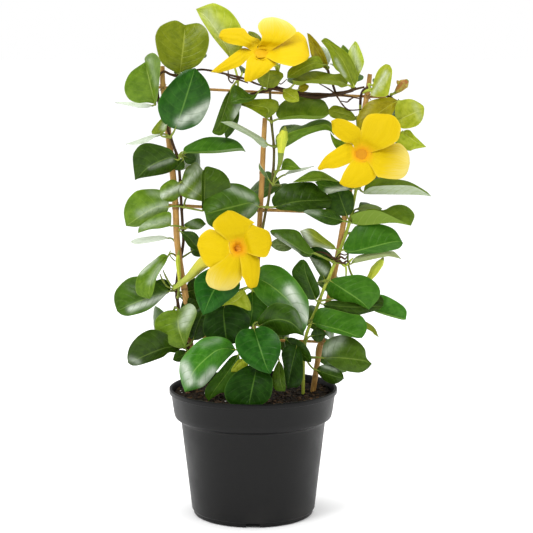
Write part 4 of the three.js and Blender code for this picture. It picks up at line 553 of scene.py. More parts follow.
FLOWERS = [
  {
    "name": "flower_top", "stalk": "flower_stalk_top", "throat": "golden",
    "vine": "middle_vine", "at": (276.5, 88), "seat": (0, 0, 1), "faces": (0, -0.5, 0.87),
    "tube": [(277, 66, -3, 2.4), (273, 62, -6, 4.2), (267, 57, -9, 6.5), (261, 53, -12, 9)],
    "stalk_path": [(278, 75, 2, 1.3), (277.4, 67.4, -2.2, 2.4)],
    "petals": [
      petal((218, 37, -6), 5, [(253, 52), (244.3, 46.6), (229.6, 43.8), (221, 39.6), (218.5, 37)],
            [(257, 47), (261, 40.3), (250.6, 36), (244.3, 29), (241.5, 28), (233, 28), (222, 30),
             (218.5, 37)]),
      petal((212, 71, -27), 6,
            [(256, 56), (246.4, 60.6), (242.9, 64), (236.6, 67.6), (219.7, 72.6), (210.6, 72.2)],
            [(252, 50), (243.6, 48), (236.6, 51.5), (219, 64.8), (210.6, 72.2)]),
      petal((250, 82, -38), 8,
            [(267, 56), (275.9, 63.4), (272.4, 67.6), (266, 73.3), (257, 78.9), (250, 81.7)],
            [(253, 54), (247, 60), (245.7, 67.6), (244.3, 76.8), (245, 81.3), (250, 81.7)]),
      petal((308, 55, -17), 6,
            [(270, 50), (284, 40), (296.2, 31.9), (301.8, 34), (306, 38.9), (308.9, 50), (309.6, 55.7)],
            [(266, 57), (275, 62), (290.6, 66.2), (297.6, 64.8), (306.8, 60), (309.6, 55.7)]),
      petal((273, 18, 12), 6,
            [(257, 49), (261.8, 37.5), (259, 31), (258, 25.5), (260.4, 21.3), (264.6, 18.2), (272, 17)],
            [(270, 51), (284, 42), (295, 34), (295.5, 29), (287.8, 22), (278.7, 18.2), (272, 17)],
            pale=True),
    ],
  },
  {
    "name": "flower_right", "stalk": "flower_stalk_right", "throat": "orange",
    "vine": "right_vine", "at": (357, 184), "seat": (0, -1, 0), "faces": (0, -0.85, 0.52),
    "tube": [(359, 172, -10, 2.4), (360, 166, -16, 4.2), (361, 159, -24, 6.5), (362, 153.5, -32, 9)],
    "stalk_path": [(357.5, 178, 0, 1.3), (358.6, 174.6, -7.4, 2.2), (358.95, 172.3, -9.7, 2.4)],
    "petals": [
      petal((333, 126, -26), 4,
            [(355, 151), (352, 143.5), (345, 142.5), (338, 138), (332.5, 132), (332, 127), (331, 121)],
            [(362, 148), (361, 132), (358, 127), (347, 120.5), (337, 118.5), (331, 121)]),
      petal((383, 115, -22), 5,
            [(358, 149), (362, 125), (365, 118), (369, 114.5), (376, 113.5), (388, 114)],
            [(369, 153), (385, 148), (397, 141), (400, 134), (401, 128), (399, 122), (394, 116),
             (388, 114)]),
      petal((408, 162, -30), 5,
            [(368, 150), (385, 145), (397, 143), (401, 144), (406, 149), (409, 155), (410, 163)],
            [(366, 159), (372, 168), (377, 176.5), (381, 177.5), (390, 179), (400, 179), (405, 176),
             (408, 171), (410, 163)], pale=True),
      petal((353, 187, -44), 5,
            [(369, 156), (374, 168), (376, 176.5), (372, 181), (367, 184.5), (360, 187), (352, 188),
             (344, 186.5)],
            [(356, 158), (350, 163), (344, 172), (341, 179), (339.5, 183), (344, 186.5)]),
      petal((319, 169, -38), 5,
            [(357, 160), (342, 166.5), (334, 168.5), (326, 168.5), (319.5, 170.5), (317.5, 168)],
            [(355, 149), (350, 142.5), (344, 144), (334, 150), (325, 157), (317.5, 168)]),
    ],
  },
  {
    "name": "flower_low", "stalk": "flower_stalk_low", "throat": "dark",
    "vine": "left_vine", "at": (176.5, 285), "seat": (-0.6, -0.8, 0), "faces": (0.15, -0.93, 0.32),
    "tube": [(179, 284.5, -12, 2.3), (190, 276, -17, 4), (204, 262, -25, 6.5), (222, 252, -33, 8),
             (238, 247, -39, 9)],
    "stalk_path": [(173.5, 288, 0, 1.3), (175.2, 287.4, -8, 1.8), (176.8, 286.2, -11, 2.2),
             (178.7, 284.75, -11.85, 2.3)],
    "petals": [
      petal((228, 212, -33), 4,
            [(232, 244), (222, 236), (214, 229), (213, 223), (219, 216), (227.5, 210.5)],
            [(243, 243), (249, 234), (251, 225), (254.5, 222.5), (243, 216), (233, 211), (227.5, 210.5)]),
      petal((270, 243, -38), 5,
            [(241, 243), (247, 224), (258, 227), (268, 231), (271, 237), (272, 243)],
            [(244, 252), (257, 256.5), (266, 257), (270, 250), (272, 243)]),
      petal((253, 287, -46), 4,
            [(246, 250), (257, 257), (260, 262), (259.5, 275), (257, 286), (251, 288.5)],
            [(239, 254), (241, 266), (242, 276), (244, 279), (247, 286), (251, 288.5)]),
      petal((221, 290, -46), 5,
            [(243, 253), (243, 266), (242, 276), (241, 280), (234, 288), (226, 290.5), (219, 290.5)],
            [(232, 251), (222, 260), (210, 268), (208, 270), (206, 276), (206, 281), (210, 287),
             (219, 290.5)], pale=True),
      petal((199, 247, -35), 5,
            [(234, 253), (226, 263), (221, 269), (214, 269.5), (206, 265), (201, 257), (197, 245)],
            [(235, 242), (222, 234), (213, 229.5), (207, 230), (200, 236), (197, 245)]),
    ],
  },
]

# Buds: pixel column, row, depth y and radius from the stem to the tip. The bud's own skin starts
# where the radius passes "skin_from".
BUDS = [
  {
    "name": "bud_middle", "vine": "middle_vine", "at": [273.3, 172], "seat": [0.5, -0.85, 0],
    "path": [[278, 170, -4, 1.4], [280, 162, -8, 2.3], [281, 151, -10, 3.2], [282.5, 139, -10, 5.6],
      [284, 132, -10, 3.6], [285.5, 126.5, -10, 0.8]], "skin_from": 3.0,
  },
  {
    "name": "bud_left", "vine": "left_vine", "at": [177.3, 297], "seat": [0.3, -0.95, 0],
    "path": [[178.5, 292, 1, 1.1], [179.5, 283, 0, 1.5], [178.5, 270, -1, 2.0],
      [178, 260, -1.5, 2.3], [179, 250, -2, 0.5]], "skin_from": 1.4,
  },
  {
    "name": "bud_right", "vine": "right_vine", "at": [346.6, 233], "seat": [1, 0, 0],
    "path": [[349, 243, 8, 0.9], [348, 262, 12, 1.0], [353, 277, 15, 1.1], [361, 282, 15, 1.4],
      [369, 278, 14, 2.8], [375, 270, 12, 4.6], [380, 263.5, 11, 3.8], [383.5, 257.5, 10, 0.8]],
    "skin_from": 2.0,
  },
  {
    "name": "bud_cluster_top", "vine": "right_vine", "at": [391, 98], "seat": [0, 0, 1],
    "path": [[395, 93, 6, 1.4], [399, 89, 5, 3.6], [404, 84, 4, 5.2], [408, 80, 3, 1.4]],
    "skin_from": 2.0,
  },
]
# The small buds of the cluster at the top: how many, their size, and the pixel and depth they leave
SMALL_BUDS = 7
SMALL_BUD_LENGTH = 7.5
SMALL_BUD_RADIUS = 1.9
CLUSTER_HEAD = (401, 88, 4.5)


# Places, paths and frames

PITCH = math.radians(CAMERA["pitch"])
EYE = np.array([CAMERA["x"], CAMERA["y"], CAMERA["z"]])


def sight(pixel):
    """The direction from the camera through a photograph pixel, or one for each of many."""
    across = (pixel[0] - CAMERA["centre"]) / CAMERA["focal"]
    up = (CAMERA["centre"] - pixel[1]) / CAMERA["focal"]
    forward = math.cos(PITCH) + up * math.sin(PITCH)
    return across, forward, -math.sin(PITCH) + up * math.cos(PITCH)


def place(point):
    """The point in millimetres at a photograph pixel, at depth y, or one for each of many."""
    across, forward, rise = sight(point)
    y = point[2]
    reach = (y - CAMERA["y"]) / forward
    return np.stack([CAMERA["x"] + reach * across, y, CAMERA["z"] + reach * rise], axis=-1)


def pixels_of(points):
    """The photograph's pixel columns and rows of points in millimetres."""
    off = points - EYE
    forward = off[..., 1] * math.cos(PITCH) - off[..., 2] * math.sin(PITCH)
    up = off[..., 1] * math.sin(PITCH) + off[..., 2] * math.cos(PITCH)
    columns = CAMERA["centre"] + CAMERA["focal"] * off[..., 0] / forward
    return np.stack([columns, CAMERA["centre"] - CAMERA["focal"] * up / forward], axis=-1)


def unit(vector):
    vector = np.asarray(vector, float)
    return vector / max(np.linalg.norm(vector), 1e-9)


def square_to(vector, along):
    """A unit vector like the first, turned square to the second."""
    return unit(vector - np.dot(vector, along) * along)


def smooth_step(value, low, high):
    part = np.clip((value - low) / (high - low), 0, 1)
    return part * part * (3 - 2 * part)


def normalised(vectors):
    """Each of many vectors, brought to unit length."""
    return vectors / np.linalg.norm(vectors, axis=-1)[..., None]


def bow(fraction):
    """How far a midrib stands off its straight line, as a fraction of its bow."""
    return 4 * fraction * (1 - fraction)


def bend_between(start, control, end, t):
    """A point of the curve that leaves the start towards the control and arrives at the end."""
    return (1 - t) ** 2 * start + 2 * t * (1 - t) * control + t * t * end


def smooth_path(points, steps):
    """Samples of a smooth curve through points. A fourth column, the radius, runs straight."""
    given = np.asarray(points, float)
    padded = np.vstack([2 * given[0] - given[1], given, 2 * given[-1] - given[-2]])
    t = np.linspace(0, 1, steps, endpoint=False)[:, None]
    spans = []
    for index in range(len(given) - 1):
        before, start, end, after = padded[index:index + 4]
        leave = 0.5 * (end - before)
        arrive = 0.5 * (after - start)
        span = (
            (2 * t ** 3 - 3 * t ** 2 + 1) * start + (t ** 3 - 2 * t ** 2 + t) * leave
            + (3 * t ** 2 - 2 * t ** 3) * end + (t ** 3 - t ** 2) * arrive
        )
        span[:, 3:] = start[3:] + (end[3:] - start[3:]) * t
        spans.append(span)
    return np.vstack(spans + [given[-1:]])


def placed_path(rows, steps):
    """Smooth samples of a table's path, from pixel column, row, depth and radius."""
    return smooth_path([[*place(row), row[3]] for row in rows], steps)


def travelled_along(points):
    """The length of a path from its start to each of its points."""
    return np.concatenate([[0], np.cumsum(np.linalg.norm(np.diff(points, axis=0), axis=1))])


def along_line(points, fractions, steps):
    """Points at fractions of the length of a smooth line through pixels."""
    line = smooth_path(points, steps)
    travelled = travelled_along(line)
    wanted = fractions * travelled[-1]
    return np.stack([np.interp(wanted, travelled, column) for column in line.T], axis=1)


def path_frames(points):
    """Unit vectors along a path and square to it, turned as little as possible on the way."""
    along = normalised(np.gradient(points, axis=0))
    helper = np.array([0, 1.0, 0]) if abs(along[0][1]) < 0.9 else np.array([1.0, 0, 0])
    current = unit(np.cross(helper, along[0]))
    across = []
    for direction in along:
        current = square_to(current, direction)
        across.append(current)
    across = np.array(across)
    return along, across, np.cross(along, across)


def around(sides):
    """Even turns around a ring."""
    return np.linspace(0, TURN, sides, endpoint=False)


def turn_about_z(points, angle):
    turned = np.array(points, float)
    turned[..., 0] = points[..., 0] * math.cos(angle) - points[..., 1] * math.sin(angle)
    turned[..., 1] = points[..., 0] * math.sin(angle) + points[..., 1] * math.cos(angle)
    return turned


def bumpy(point, size):
    """Smooth random height between about -1 and 1 at a point in millimetres."""
    return noise.noise(Vector(point) / size)


def lumpy(point, size):
    """The same, with smaller bumps on the large ones."""
    spot = Vector(point) / size
    return noise.noise(spot) + 0.5 * noise.noise(spot * 2.1 + Vector((3.1, 7.7, 1.3)))


# Pieces

class Piece:
    """Closed shells in millimetres that become one object, with the marks its materials read."""

    def __init__(self, name, materials):
        self.name = name
        self.materials = materials
        self.points = []
        self.marks = []
        self.seeds = []
        self.shines = []
        self.faces = []
        self.face_materials = []
        self.count = 0

    def shell(self, rings, marks, material=0, seed=0.0, shine=None):
        """Adds rings of points, each closed on itself, with both ends closed.

        The material may be one for each step between rings, the seed one for each ring, and the
        shine, a highlight painted into a glossy leaf's colour where light falls, one for each point.
        """
        rows, sides = rings.shape[:2]
        index = np.arange(rows * sides).reshape(rows, sides)
        beside = np.roll(index, -1, axis=1)
        quads = np.stack([index[:-1], beside[:-1], beside[1:], index[1:]], axis=-1).reshape(-1, 4)
        faces = quads.tolist() + [index[0][::-1].tolist(), index[-1].tolist()]
        steps = np.broadcast_to(material, rows - 1)
        chosen = [*np.repeat(steps, sides), steps[0], steps[-1]]
        seeds = np.repeat(np.broadcast_to(seed, rows), sides)
        self.add(rings.reshape(-1, 3), faces, marks.reshape(-1, 3), chosen, seeds, shine)

    def tube(self, path, sides, material=0, seed=0.0, ridges=None):
        """Adds a tube around a path of points and radii."""
        self.shell(*tube_rings(path, sides, ridges), material, seed)

    def add(self, points, faces, marks, material, seed, shine=None):
        self.points.append(points)
        self.marks.append(marks)
        self.seeds.append(np.broadcast_to(seed, len(points)))
        self.shines.append(np.zeros(len(points)) if shine is None else shine.ravel())
        self.faces.extend([[corner + self.count for corner in face] for face in faces])
        self.face_materials.extend(np.broadcast_to(material, len(faces)).tolist())
        self.count += len(points)

    def build(self, sharp=40):
        """The finished object. Its edges show where they turn more than the sharp angle."""
        mesh = bpy.data.meshes.new(self.name)
        mesh.from_pydata((np.vstack(self.points) * METRES).tolist(), [], self.faces)
        for material in self.materials:
            mesh.materials.append(material)
        mesh.polygons.foreach_set("material_index", self.face_materials)
        mesh.polygons.foreach_set("use_smooth", [True] * len(self.faces))
        marks = mesh.attributes.new("marks", "FLOAT_VECTOR", "POINT")
        marks.data.foreach_set("vector", np.vstack(self.marks).astype(np.float32).ravel())
        for name, values in (("seed", self.seeds), ("shine", self.shines)):
            attribute = mesh.attributes.new(name, "FLOAT", "POINT")
            attribute.data.foreach_set("value", np.concatenate(values).astype(np.float32))
        mesh.update()
        mesh.set_sharp_from_angle(angle=math.radians(sharp))
        piece = bpy.data.objects.new(self.name, mesh)
        bpy.context.scene.collection.objects.link(piece)
        return piece


def settle(piece, slot, *nodes):
    """Puts a finished piece on the plant's one body, in place of its CAD nodes."""
    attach(piece, "root")
    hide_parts(*nodes)


def tube_rings(path, sides, ridges=None):
    """Rings around a path of points and radii, and marks that unroll them, in millimetres."""
    points = path[:, :3]
    _, across, other = path_frames(points)
    travelled = travelled_along(points)
    angle = around(sides)
    radius = np.repeat(path[:, 3:4], sides, axis=1)
    if ridges is not None:
        radius = radius * ridges(travelled[:, None], angle[None, :])
    flat_x = np.cos(angle)[None, :] * radius
    flat_y = np.sin(angle)[None, :] * radius
    rings = points[:, None] + across[:, None] * flat_x[..., None] + other[:, None] * flat_y[..., None]
    marks = np.stack([flat_x, flat_y, np.repeat(travelled[:, None], sides, axis=1)], axis=-1)
    return rings, marks


def two_faced(upper, lower, across, lengthwise):
    """Rings over a thin blade's upper face and back under its lower one, with their marks."""
    spread, along = np.broadcast_arrays(across[None, :], lengthwise[:, None])
    over = np.stack([spread, along, np.zeros(spread.shape)], axis=-1)
    under = over + [0, 0, 1]
    rings = np.concatenate([upper, lower[:, ::-1]], axis=1)
    return rings, np.concatenate([over, under[:, ::-1]], axis=1)


def rounded_end(path):
    """Adds a few shrinking samples, so that a tube ends in a rounded tip."""
    tip = path[-1]
    direction = unit(tip[:3] - path[-2][:3])
    extra = []
    for angle in (30, 55, 75, 88):
        turn = math.radians(angle)
        reach = tip[3] * math.sin(turn) * 0.5
        extra.append([*(tip[:3] + direction * reach), max(tip[3] * math.cos(turn), 0.03)])
    return np.vstack([path, extra])


def hub(piece, centre, material):
    """The small swollen knob where stalks leave a stem."""
    rings = []
    for height in np.linspace(-0.97, 0.97, 7):
        reach = math.sqrt(1 - height * height)
        ring = []
        for turn in around(10):
            away = np.array([reach * math.cos(turn), reach * math.sin(turn), height])
            uneven = 1 + 0.12 * bumpy(away * 3 + centre, 2.0)
            ring.append(centre + away * HUB_RADIUS * uneven)
        rings.append(ring)
    rings = np.array(rings)
    piece.shell(rings, rings, material)


# A crumb: how uneven it is, and its twelve corners and twenty faces before it is made so
CRUMB_UNEVEN = 0.22
CRUMB_CORNERS = np.array([
    [0, 0, 1], [1, 0, 0.3], [0.3, 0.95, 0.3], [-0.8, 0.6, 0.3], [-0.8, -0.6, 0.3], [0.3, -0.95, 0.3],
    [0.8, 0.6, -0.4], [-0.3, 0.95, -0.4], [-1, 0, -0.4], [-0.3, -0.95, -0.4], [0.8, -0.6, -0.4],
    [0, 0, -0.9],
])
CRUMB_FACES = [
    [0, 1, 2], [0, 2, 3], [0, 3, 4], [0, 4, 5], [0, 5, 1], [1, 6, 2], [2, 7, 3], [3, 8, 4],
    [4, 9, 5], [5, 10, 1], [6, 7, 2], [7, 8, 3], [8, 9, 4], [9, 10, 5], [10, 6, 1],
    [11, 7, 6], [11, 8, 7], [11, 9, 8], [11, 10, 9], [11, 6, 10],
]


def crumb(rng, centre, size, flatness):
    """The corners of one uneven crumb, chip or grain."""
    shape = CRUMB_CORNERS * (1 + CRUMB_UNEVEN * rng.uniform(-1, 1, (12, 1)))
    shape = shape * size * np.array([1, rng.uniform(0.6, 1), flatness])
    lean = rng.uniform(-0.5, 0.5)
    rise = np.array([[1, 0, 0], [0, math.cos(lean), -math.sin(lean)], [0, math.sin(lean), math.cos(lean)]])
    return turn_about_z(shape @ rise.T, rng.uniform(0, TURN)) + centre


# Materials

# Blender's numbers for the sockets of a node that mixes two colours
MIX_FACTOR = 0
MIX_FIRST = 6
MIX_SECOND = 7
MIX_RESULT = 2


def tint(red, green, blue):
    """A screen colour, each part from 0 to 255, as the linear colour that a shader wants."""
    parts = np.array([red, green, blue]) / 255
    linear = np.where(parts <= 0.04045, parts / 12.92, ((parts + 0.055) / 1.055) ** 2.4)
    return (*linear.tolist(), 1)


class Board:
    """A node tree, with short ways to add nodes and to join them."""

    def __init__(self, tree):
        self.tree = tree

    def feed(self, socket, value):
        if isinstance(value, bpy.types.NodeSocket):
            self.tree.links.new(value, socket)
        else:
            socket.default_value = value

    def node(self, kind, inputs=None, **settings):
        node = self.tree.nodes.new(kind)
        for name, value in settings.items():
            setattr(node, name, value)
        for name, value in (inputs or {}).items():
            self.feed(node.inputs[name], value)
        return node

    def maths(self, operation, *values):
        node = self.node("ShaderNodeMath", operation=operation)
        for socket, value in zip(node.inputs, values):
            self.feed(socket, value)
        return node.outputs[0]

    def plus(self, first, second):
        return self.maths("ADD", first, second)

    def minus(self, first, second):
        return self.maths("SUBTRACT", first, second)

    def times(self, first, second):
        return self.maths("MULTIPLY", first, second)

    def blend(self, factor, first, second):
        """Two colours mixed: each a socket, or its screen colour as red, green and blue."""
        node = self.node("ShaderNodeMix", data_type="RGBA")
        self.feed(node.inputs[MIX_FACTOR], factor)
        for socket, colour in ((MIX_FIRST, first), (MIX_SECOND, second)):
            self.feed(node.inputs[socket], tint(*colour) if isinstance(colour, tuple) else colour)
        return node.outputs[MIX_RESULT]

    def spread(self, value, low, high, to_low=0.0, to_high=1.0):
        """A value between two limits, eased to run between two others."""
        inputs = {
            "Value": value, "From Min": low, "From Max": high, "To Min": to_low, "To Max": to_high,
        }
        return self.node("ShaderNodeMapRange", inputs, interpolation_type="SMOOTHSTEP").outputs[0]

    def stretched(self, vector, sizes):
        node = self.node("ShaderNodeVectorMath", operation="MULTIPLY")
        self.feed(node.inputs[0], vector)
        node.inputs[1].default_value = sizes
        return node.outputs[0]

    def split(self, vector):
        return self.node("ShaderNodeSeparateXYZ", {"Vector": vector}).outputs

    def grains(self, vector, scale, detail=2.0, roughness=0.5):
        inputs = {"Vector": vector, "Scale": scale, "Detail": detail, "Roughness": roughness}
        return self.node("ShaderNodeTexNoise", inputs).outputs["Fac"]

    def where(self):
        """The place on the object itself, in metres."""
        return self.node("ShaderNodeTexCoord").outputs["Object"]

    def placed_group(self, tree, inputs):
        return self.node("ShaderNodeGroup", inputs, node_tree=tree).outputs


class Surface(Board):
    """A material's own board, around its shader."""

    def __init__(self, name, **shader_values):
        self.material = bpy.data.materials.new(name)
        self.material.use_nodes = True
        super().__init__(self.material.node_tree)
        self.shader = self.tree.nodes["Principled BSDF"]
        for label, value in shader_values.items():
            self.shader.inputs[label.replace("_", " ")].default_value = value

    def mark(self, name):
        """A mark that the pieces carry: their unrolled places, a seed or a painted highlight."""
        output = "Vector" if name == "marks" else "Fac"
        return self.node("ShaderNodeAttribute", attribute_name=name).outputs[output]

    def fibres(self, fineness):
        return self.placed_group(FIBRES, {"Marks": self.mark("marks"), "Fineness": fineness})

    def speckle(self, grain):
        return self.placed_group(SPECKLE, {"Place": self.where(), "Grain": grain})

    def shaded(self, colour, luck, darkest, lightest, hue=0.5):
        """The colour made darker or lighter by a luck from 0 to 1."""
        value = self.spread(luck, 0.0, 1.0, darkest, lightest)
        inputs = {"Color": colour, "Value": value, "Hue": hue}
        return self.node("ShaderNodeHueSaturation", inputs).outputs["Color"]

    def finish(self, colour, roughness, height, depth):
        """The finished material. The full depth of its relief is in millimetres."""
        self.feed(self.shader.inputs["Base Color"], colour)
        self.feed(self.shader.inputs["Roughness"], roughness)
        inputs = {"Strength": 1.0, "Distance": depth * METRES, "Height": height}
        self.feed(self.shader.inputs["Normal"], self.node("ShaderNodeBump", inputs).outputs["Normal"])
        return self.material


VALUE = "NodeSocketFloat"
VECTOR = "NodeSocketVector"


def new_group(name, inputs, *outputs):
    """A shared effect with named inputs, which puts out values only."""
    tree = bpy.data.node_groups.new(name, "ShaderNodeTree")
    for label, kind in inputs.items():
        tree.interface.new_socket(label, in_out="INPUT", socket_type=kind)
    for label in outputs:
        tree.interface.new_socket(label, in_out="OUTPUT", socket_type=VALUE)
    board = Board(tree)
    return tree, board, board.node("NodeGroupInput").outputs, board.node("NodeGroupOutput").inputs


# How the side veins of a leaf run: how many, and how far they sweep forward to its edge
VEIN_COUNT = 8
VEIN_SWEEP = 0.2
VEIN_STAGGER = 0.4


def make_leaf_pattern():
    """Masks of a leaf's midrib, side veins and rim, and its mottling, from the blade's marks."""
    tree, board, given, gives = new_group(
        "Leaf pattern", {"Marks": VECTOR, "Seed": VALUE}, "Midrib", "Veins", "Rim", "Mottling", "Under")
    parts = board.split(given["Marks"])
    across = board.maths("ABSOLUTE", parts["X"])
    swept = board.times(board.maths("POWER", across, 1.4), VEIN_SWEEP)
    forward = board.times(board.minus(parts["Y"], swept), VEIN_COUNT)
    stagger = board.times(board.maths("GREATER_THAN", parts["X"], 0.0), VEIN_STAGGER)
    phase = board.plus(board.plus(forward, stagger), given["Seed"])
    middle = board.maths("ABSOLUTE", board.minus(board.maths("FRACT", phase), 0.5))
    fade = board.spread(across, 0.7, 0.98, 1.0, 0.0)
    shifted = board.node("ShaderNodeVectorMath", operation="ADD")
    board.feed(shifted.inputs[0], board.stretched(given["Marks"], (2.2, 5.0, 1.0)))
    spot = board.node("ShaderNodeCombineXYZ", {"Z": board.times(given["Seed"], 37.0)})
    board.feed(shifted.inputs[1], spot.outputs[0])
    board.feed(gives["Midrib"], board.spread(across, 0.012, 0.05, 1.0, 0.0))
    board.feed(gives["Veins"], board.times(board.spread(middle, 0.38, 0.5), fade))
    board.feed(gives["Rim"], board.spread(across, 0.95, 1.0))
    board.feed(gives["Mottling"], board.grains(shifted.outputs[0], 1.3, 4.0, 0.6))
    board.feed(gives["Under"], parts["Z"])
    return tree


def make_fibres():
    """Long streaks that run with a stem or cane, from marks that unroll it in millimetres."""
    tree, board, given, gives = new_group(
        "Long fibres", {"Marks": VECTOR, "Fineness": VALUE}, "Streaks", "Patches")
    fine = board.stretched(given["Marks"], (1.0, 1.0, 0.05))
    broad = board.stretched(given["Marks"], (1.0, 1.0, 0.35))
    board.feed(gives["Streaks"], board.grains(fine, given["Fineness"], 3.0, 0.65))
    board.feed(gives["Patches"], board.grains(broad, 0.16, 3.0))
    return tree


def make_speckle():
    """Fine grain and broad dusty patches, from the place on the object."""
    tree, board, given, gives = new_group(
        "Fine speckle", {"Place": VECTOR, "Grain": VALUE}, "Grain", "Patches")
    board.feed(gives["Grain"], board.grains(given["Place"], given["Grain"], 3.0, 0.6))
    board.feed(gives["Patches"], board.grains(given["Place"], 28.0, 4.0, 0.6))
    return tree


LEAF_PATTERN = make_leaf_pattern()
FIBRES = make_fibres()
SPECKLE = make_speckle()


def leaf_material(name, dark, light, vein, roughness):
    """A glossy leaf: its two greens, the paler green of its veins, and how smooth it is."""
    board = Surface(name, Specular_IOR_Level=0.12, Coat_Weight=0.03, Coat_Roughness=0.12)
    seed = board.mark("seed")
    pattern = board.placed_group(LEAF_PATTERN, {"Marks": board.mark("marks"), "Seed": seed})
    speckle = board.speckle(900.0)
    green = board.blend(board.spread(pattern["Mottling"], 0.3, 0.7), dark, light)
    for mask, strength in (("Veins", 0.08), ("Midrib", 0.6), ("Rim", 0.35)):
        green = board.blend(board.times(pattern[mask], strength), green, vein)
    luck = board.maths("FRACT", board.times(seed, 7.0))
    upper = board.shaded(green, luck, 0.93, 1.07, board.spread(luck, 0.0, 1.0, 0.494, 0.506))
    under = board.blend(0.22, light, (140, 160, 76))
    under = board.blend(board.times(pattern["Veins"], 0.3), under, vein)
    colour = board.blend(pattern["Under"], upper, under)
    # The shine mark paints a pale highlight into the colour, broken into streaks by the mottling and the
    # veins.
    streaks = board.minus(board.spread(pattern["Mottling"], 0.3, 0.7, 0.72, 1.1),
                          board.times(pattern["Veins"], 0.3))
    shine = board.times(board.mark("shine"), streaks)
    colour = board.blend(board.maths("MINIMUM", shine, 0.9), colour, (198, 207, 192))
    gloss = board.spread(pattern["Under"], 0.0, 1.0, roughness, 0.55)
    gloss = board.plus(gloss, board.spread(speckle["Patches"], 0.3, 0.7, -0.04, 0.07))
    relief = board.minus(board.times(speckle["Grain"], 0.22), board.times(pattern["Veins"], 0.45))
    return board.finish(colour, gloss, relief, 0.35)


def stalk_material(name, first, second, streak, roughness=0.45):
    """Young green growth: two greens in patches with darker lengthwise streaks."""
    board = Surface(name, Specular_IOR_Level=0.25)
    fibres = board.fibres(1.6)
    colour = board.blend(board.spread(fibres["Patches"], 0.35, 0.65), first, second)
    colour = board.blend(board.spread(fibres["Streaks"], 0.5, 0.75, 0.0, 0.5), colour, streak)
    gloss = board.spread(fibres["Patches"], 0.3, 0.7, roughness, roughness + 0.1)
    return board.finish(colour, gloss, fibres["Streaks"], 0.25)


def bamboo_material():
    """Dry cane: tan skin with long fibres, brown node rings, and the hollow of its cut end painted darker
    as shade.
    """
    board = Surface("Bamboo skin", Specular_IOR_Level=0.45)
    ring = board.mark("seed")
    fibres = board.fibres(1.9)
    streaks = fibres["Streaks"]
    colour = board.blend(board.spread(fibres["Patches"], 0.3, 0.7), (196, 152, 80), (168, 122, 55))
    colour = board.blend(board.spread(streaks, 0.48, 0.72, 0.0, 0.75), colour, (132, 88, 38))
    colour = board.blend(board.spread(streaks, 0.22, 0.36, 0.5, 0.0), colour, (216, 182, 112))
    # The seed mark gives the brown of the node rings, and also painted shade inside the cut end's hollow.
    colour = board.blend(board.times(ring, 0.8), colour, (104, 66, 32))
    relief = board.plus(streaks, board.times(ring, 0.4))
    return board.finish(colour, board.spread(streaks, 0.3, 0.7, 0.42, 0.6), relief, 0.3)


def petal_material(name, blush, throat_shade):
    """A yellow petal: deeper in the throat and painted darker deep inside it as shade, with fine
    lengthwise veins; a pale one has a broad rim.
    """
    board = Surface(name, Specular_IOR_Level=0.08)
    marks = board.mark("marks")
    seed = board.mark("seed")
    parts = board.split(marks)
    across = board.maths("ABSOLUTE", parts["X"])
    along = parts["Y"]
    veins = board.grains(board.stretched(marks, (9.0, 0.9, 1.0)), 2.2, 3.0, 0.6)
    colour = board.blend(board.spread(veins, 0.4, 0.72, 0.0, 0.6), (200, 172, 4), (192, 160, 3))
    rim = board.maths("MAXIMUM", board.spread(across, 0.8, 1.0), board.spread(along, 0.88, 1.0))
    colour = board.blend(board.times(rim, 0.14), colour, (240, 218, 90))
    broad = board.plus(along, board.spread(veins, 0.3, 0.7, -0.1, 0.1))
    broad = board.spread(board.plus(broad, board.times(across, 0.12)), 0.4, 1.0)
    pale = board.spread(seed, 0.99, 1.0)
    colour = board.blend(board.times(board.times(broad, pale), 0.85), colour, (212, 197, 112))
    uneven = board.plus(along, board.spread(veins, 0.3, 0.7, -0.07, 0.07))
    colour = board.blend(board.spread(uneven, -0.06, 0.16, 1.0, 0.0), colour, blush)
    # Deep inside the throat the petal is painted darker, as shade.
    colour = board.blend(board.spread(along, -0.2, -0.14, 1.0, 0.0), colour, throat_shade)
    back = board.blend(board.spread(veins, 0.4, 0.7), (228, 204, 60), (216, 186, 36))
    under = board.times(parts["Z"], board.spread(along, 0.0, 0.4, 0.2, 0.75))
    colour = board.shaded(board.blend(under, colour, back), board.maths("FRACT", seed), 0.95, 1.04)
    return board.finish(colour, board.spread(veins, 0.3, 0.7, 0.5, 0.62), veins, 0.22)


def throat_material(name, first, second, deep):
    """The inside of a flower's tube: its two colours at the mouth, and the darker one deep inside, painted
    as the tube's shade.
    """
    board = Surface(name, Specular_IOR_Level=0.15)
    depth = board.mark("seed")
    fibres = board.fibres(0.9)
    colour = board.blend(board.spread(fibres["Streaks"], 0.4, 0.7), first, second)
    # Further down the tube the colour turns to the deep one, a painted shade.
    colour = board.blend(board.spread(depth, 0.35, 0.9), colour, deep)
    return board.finish(colour, board.spread(depth, 0.0, 1.0, 0.5, 0.6), fibres["Streaks"], 0.2)


def flower_tube_material():
    """The outside of a flower's tube: lime at the calyx, yellow at its mouth."""
    board = Surface("Flower tube", Specular_IOR_Level=0.4)
    fibres = board.fibres(1.1)
    colour = board.blend(board.spread(board.mark("seed"), 0.15, 0.85), (160, 172, 62), (222, 200, 40))
    colour = board.blend(board.spread(fibres["Streaks"], 0.45, 0.7, 0.0, 0.4), colour, (188, 174, 36))
    gloss = board.spread(fibres["Patches"], 0.3, 0.7, 0.42, 0.52)
    return board.finish(colour, gloss, fibres["Streaks"], 0.3)


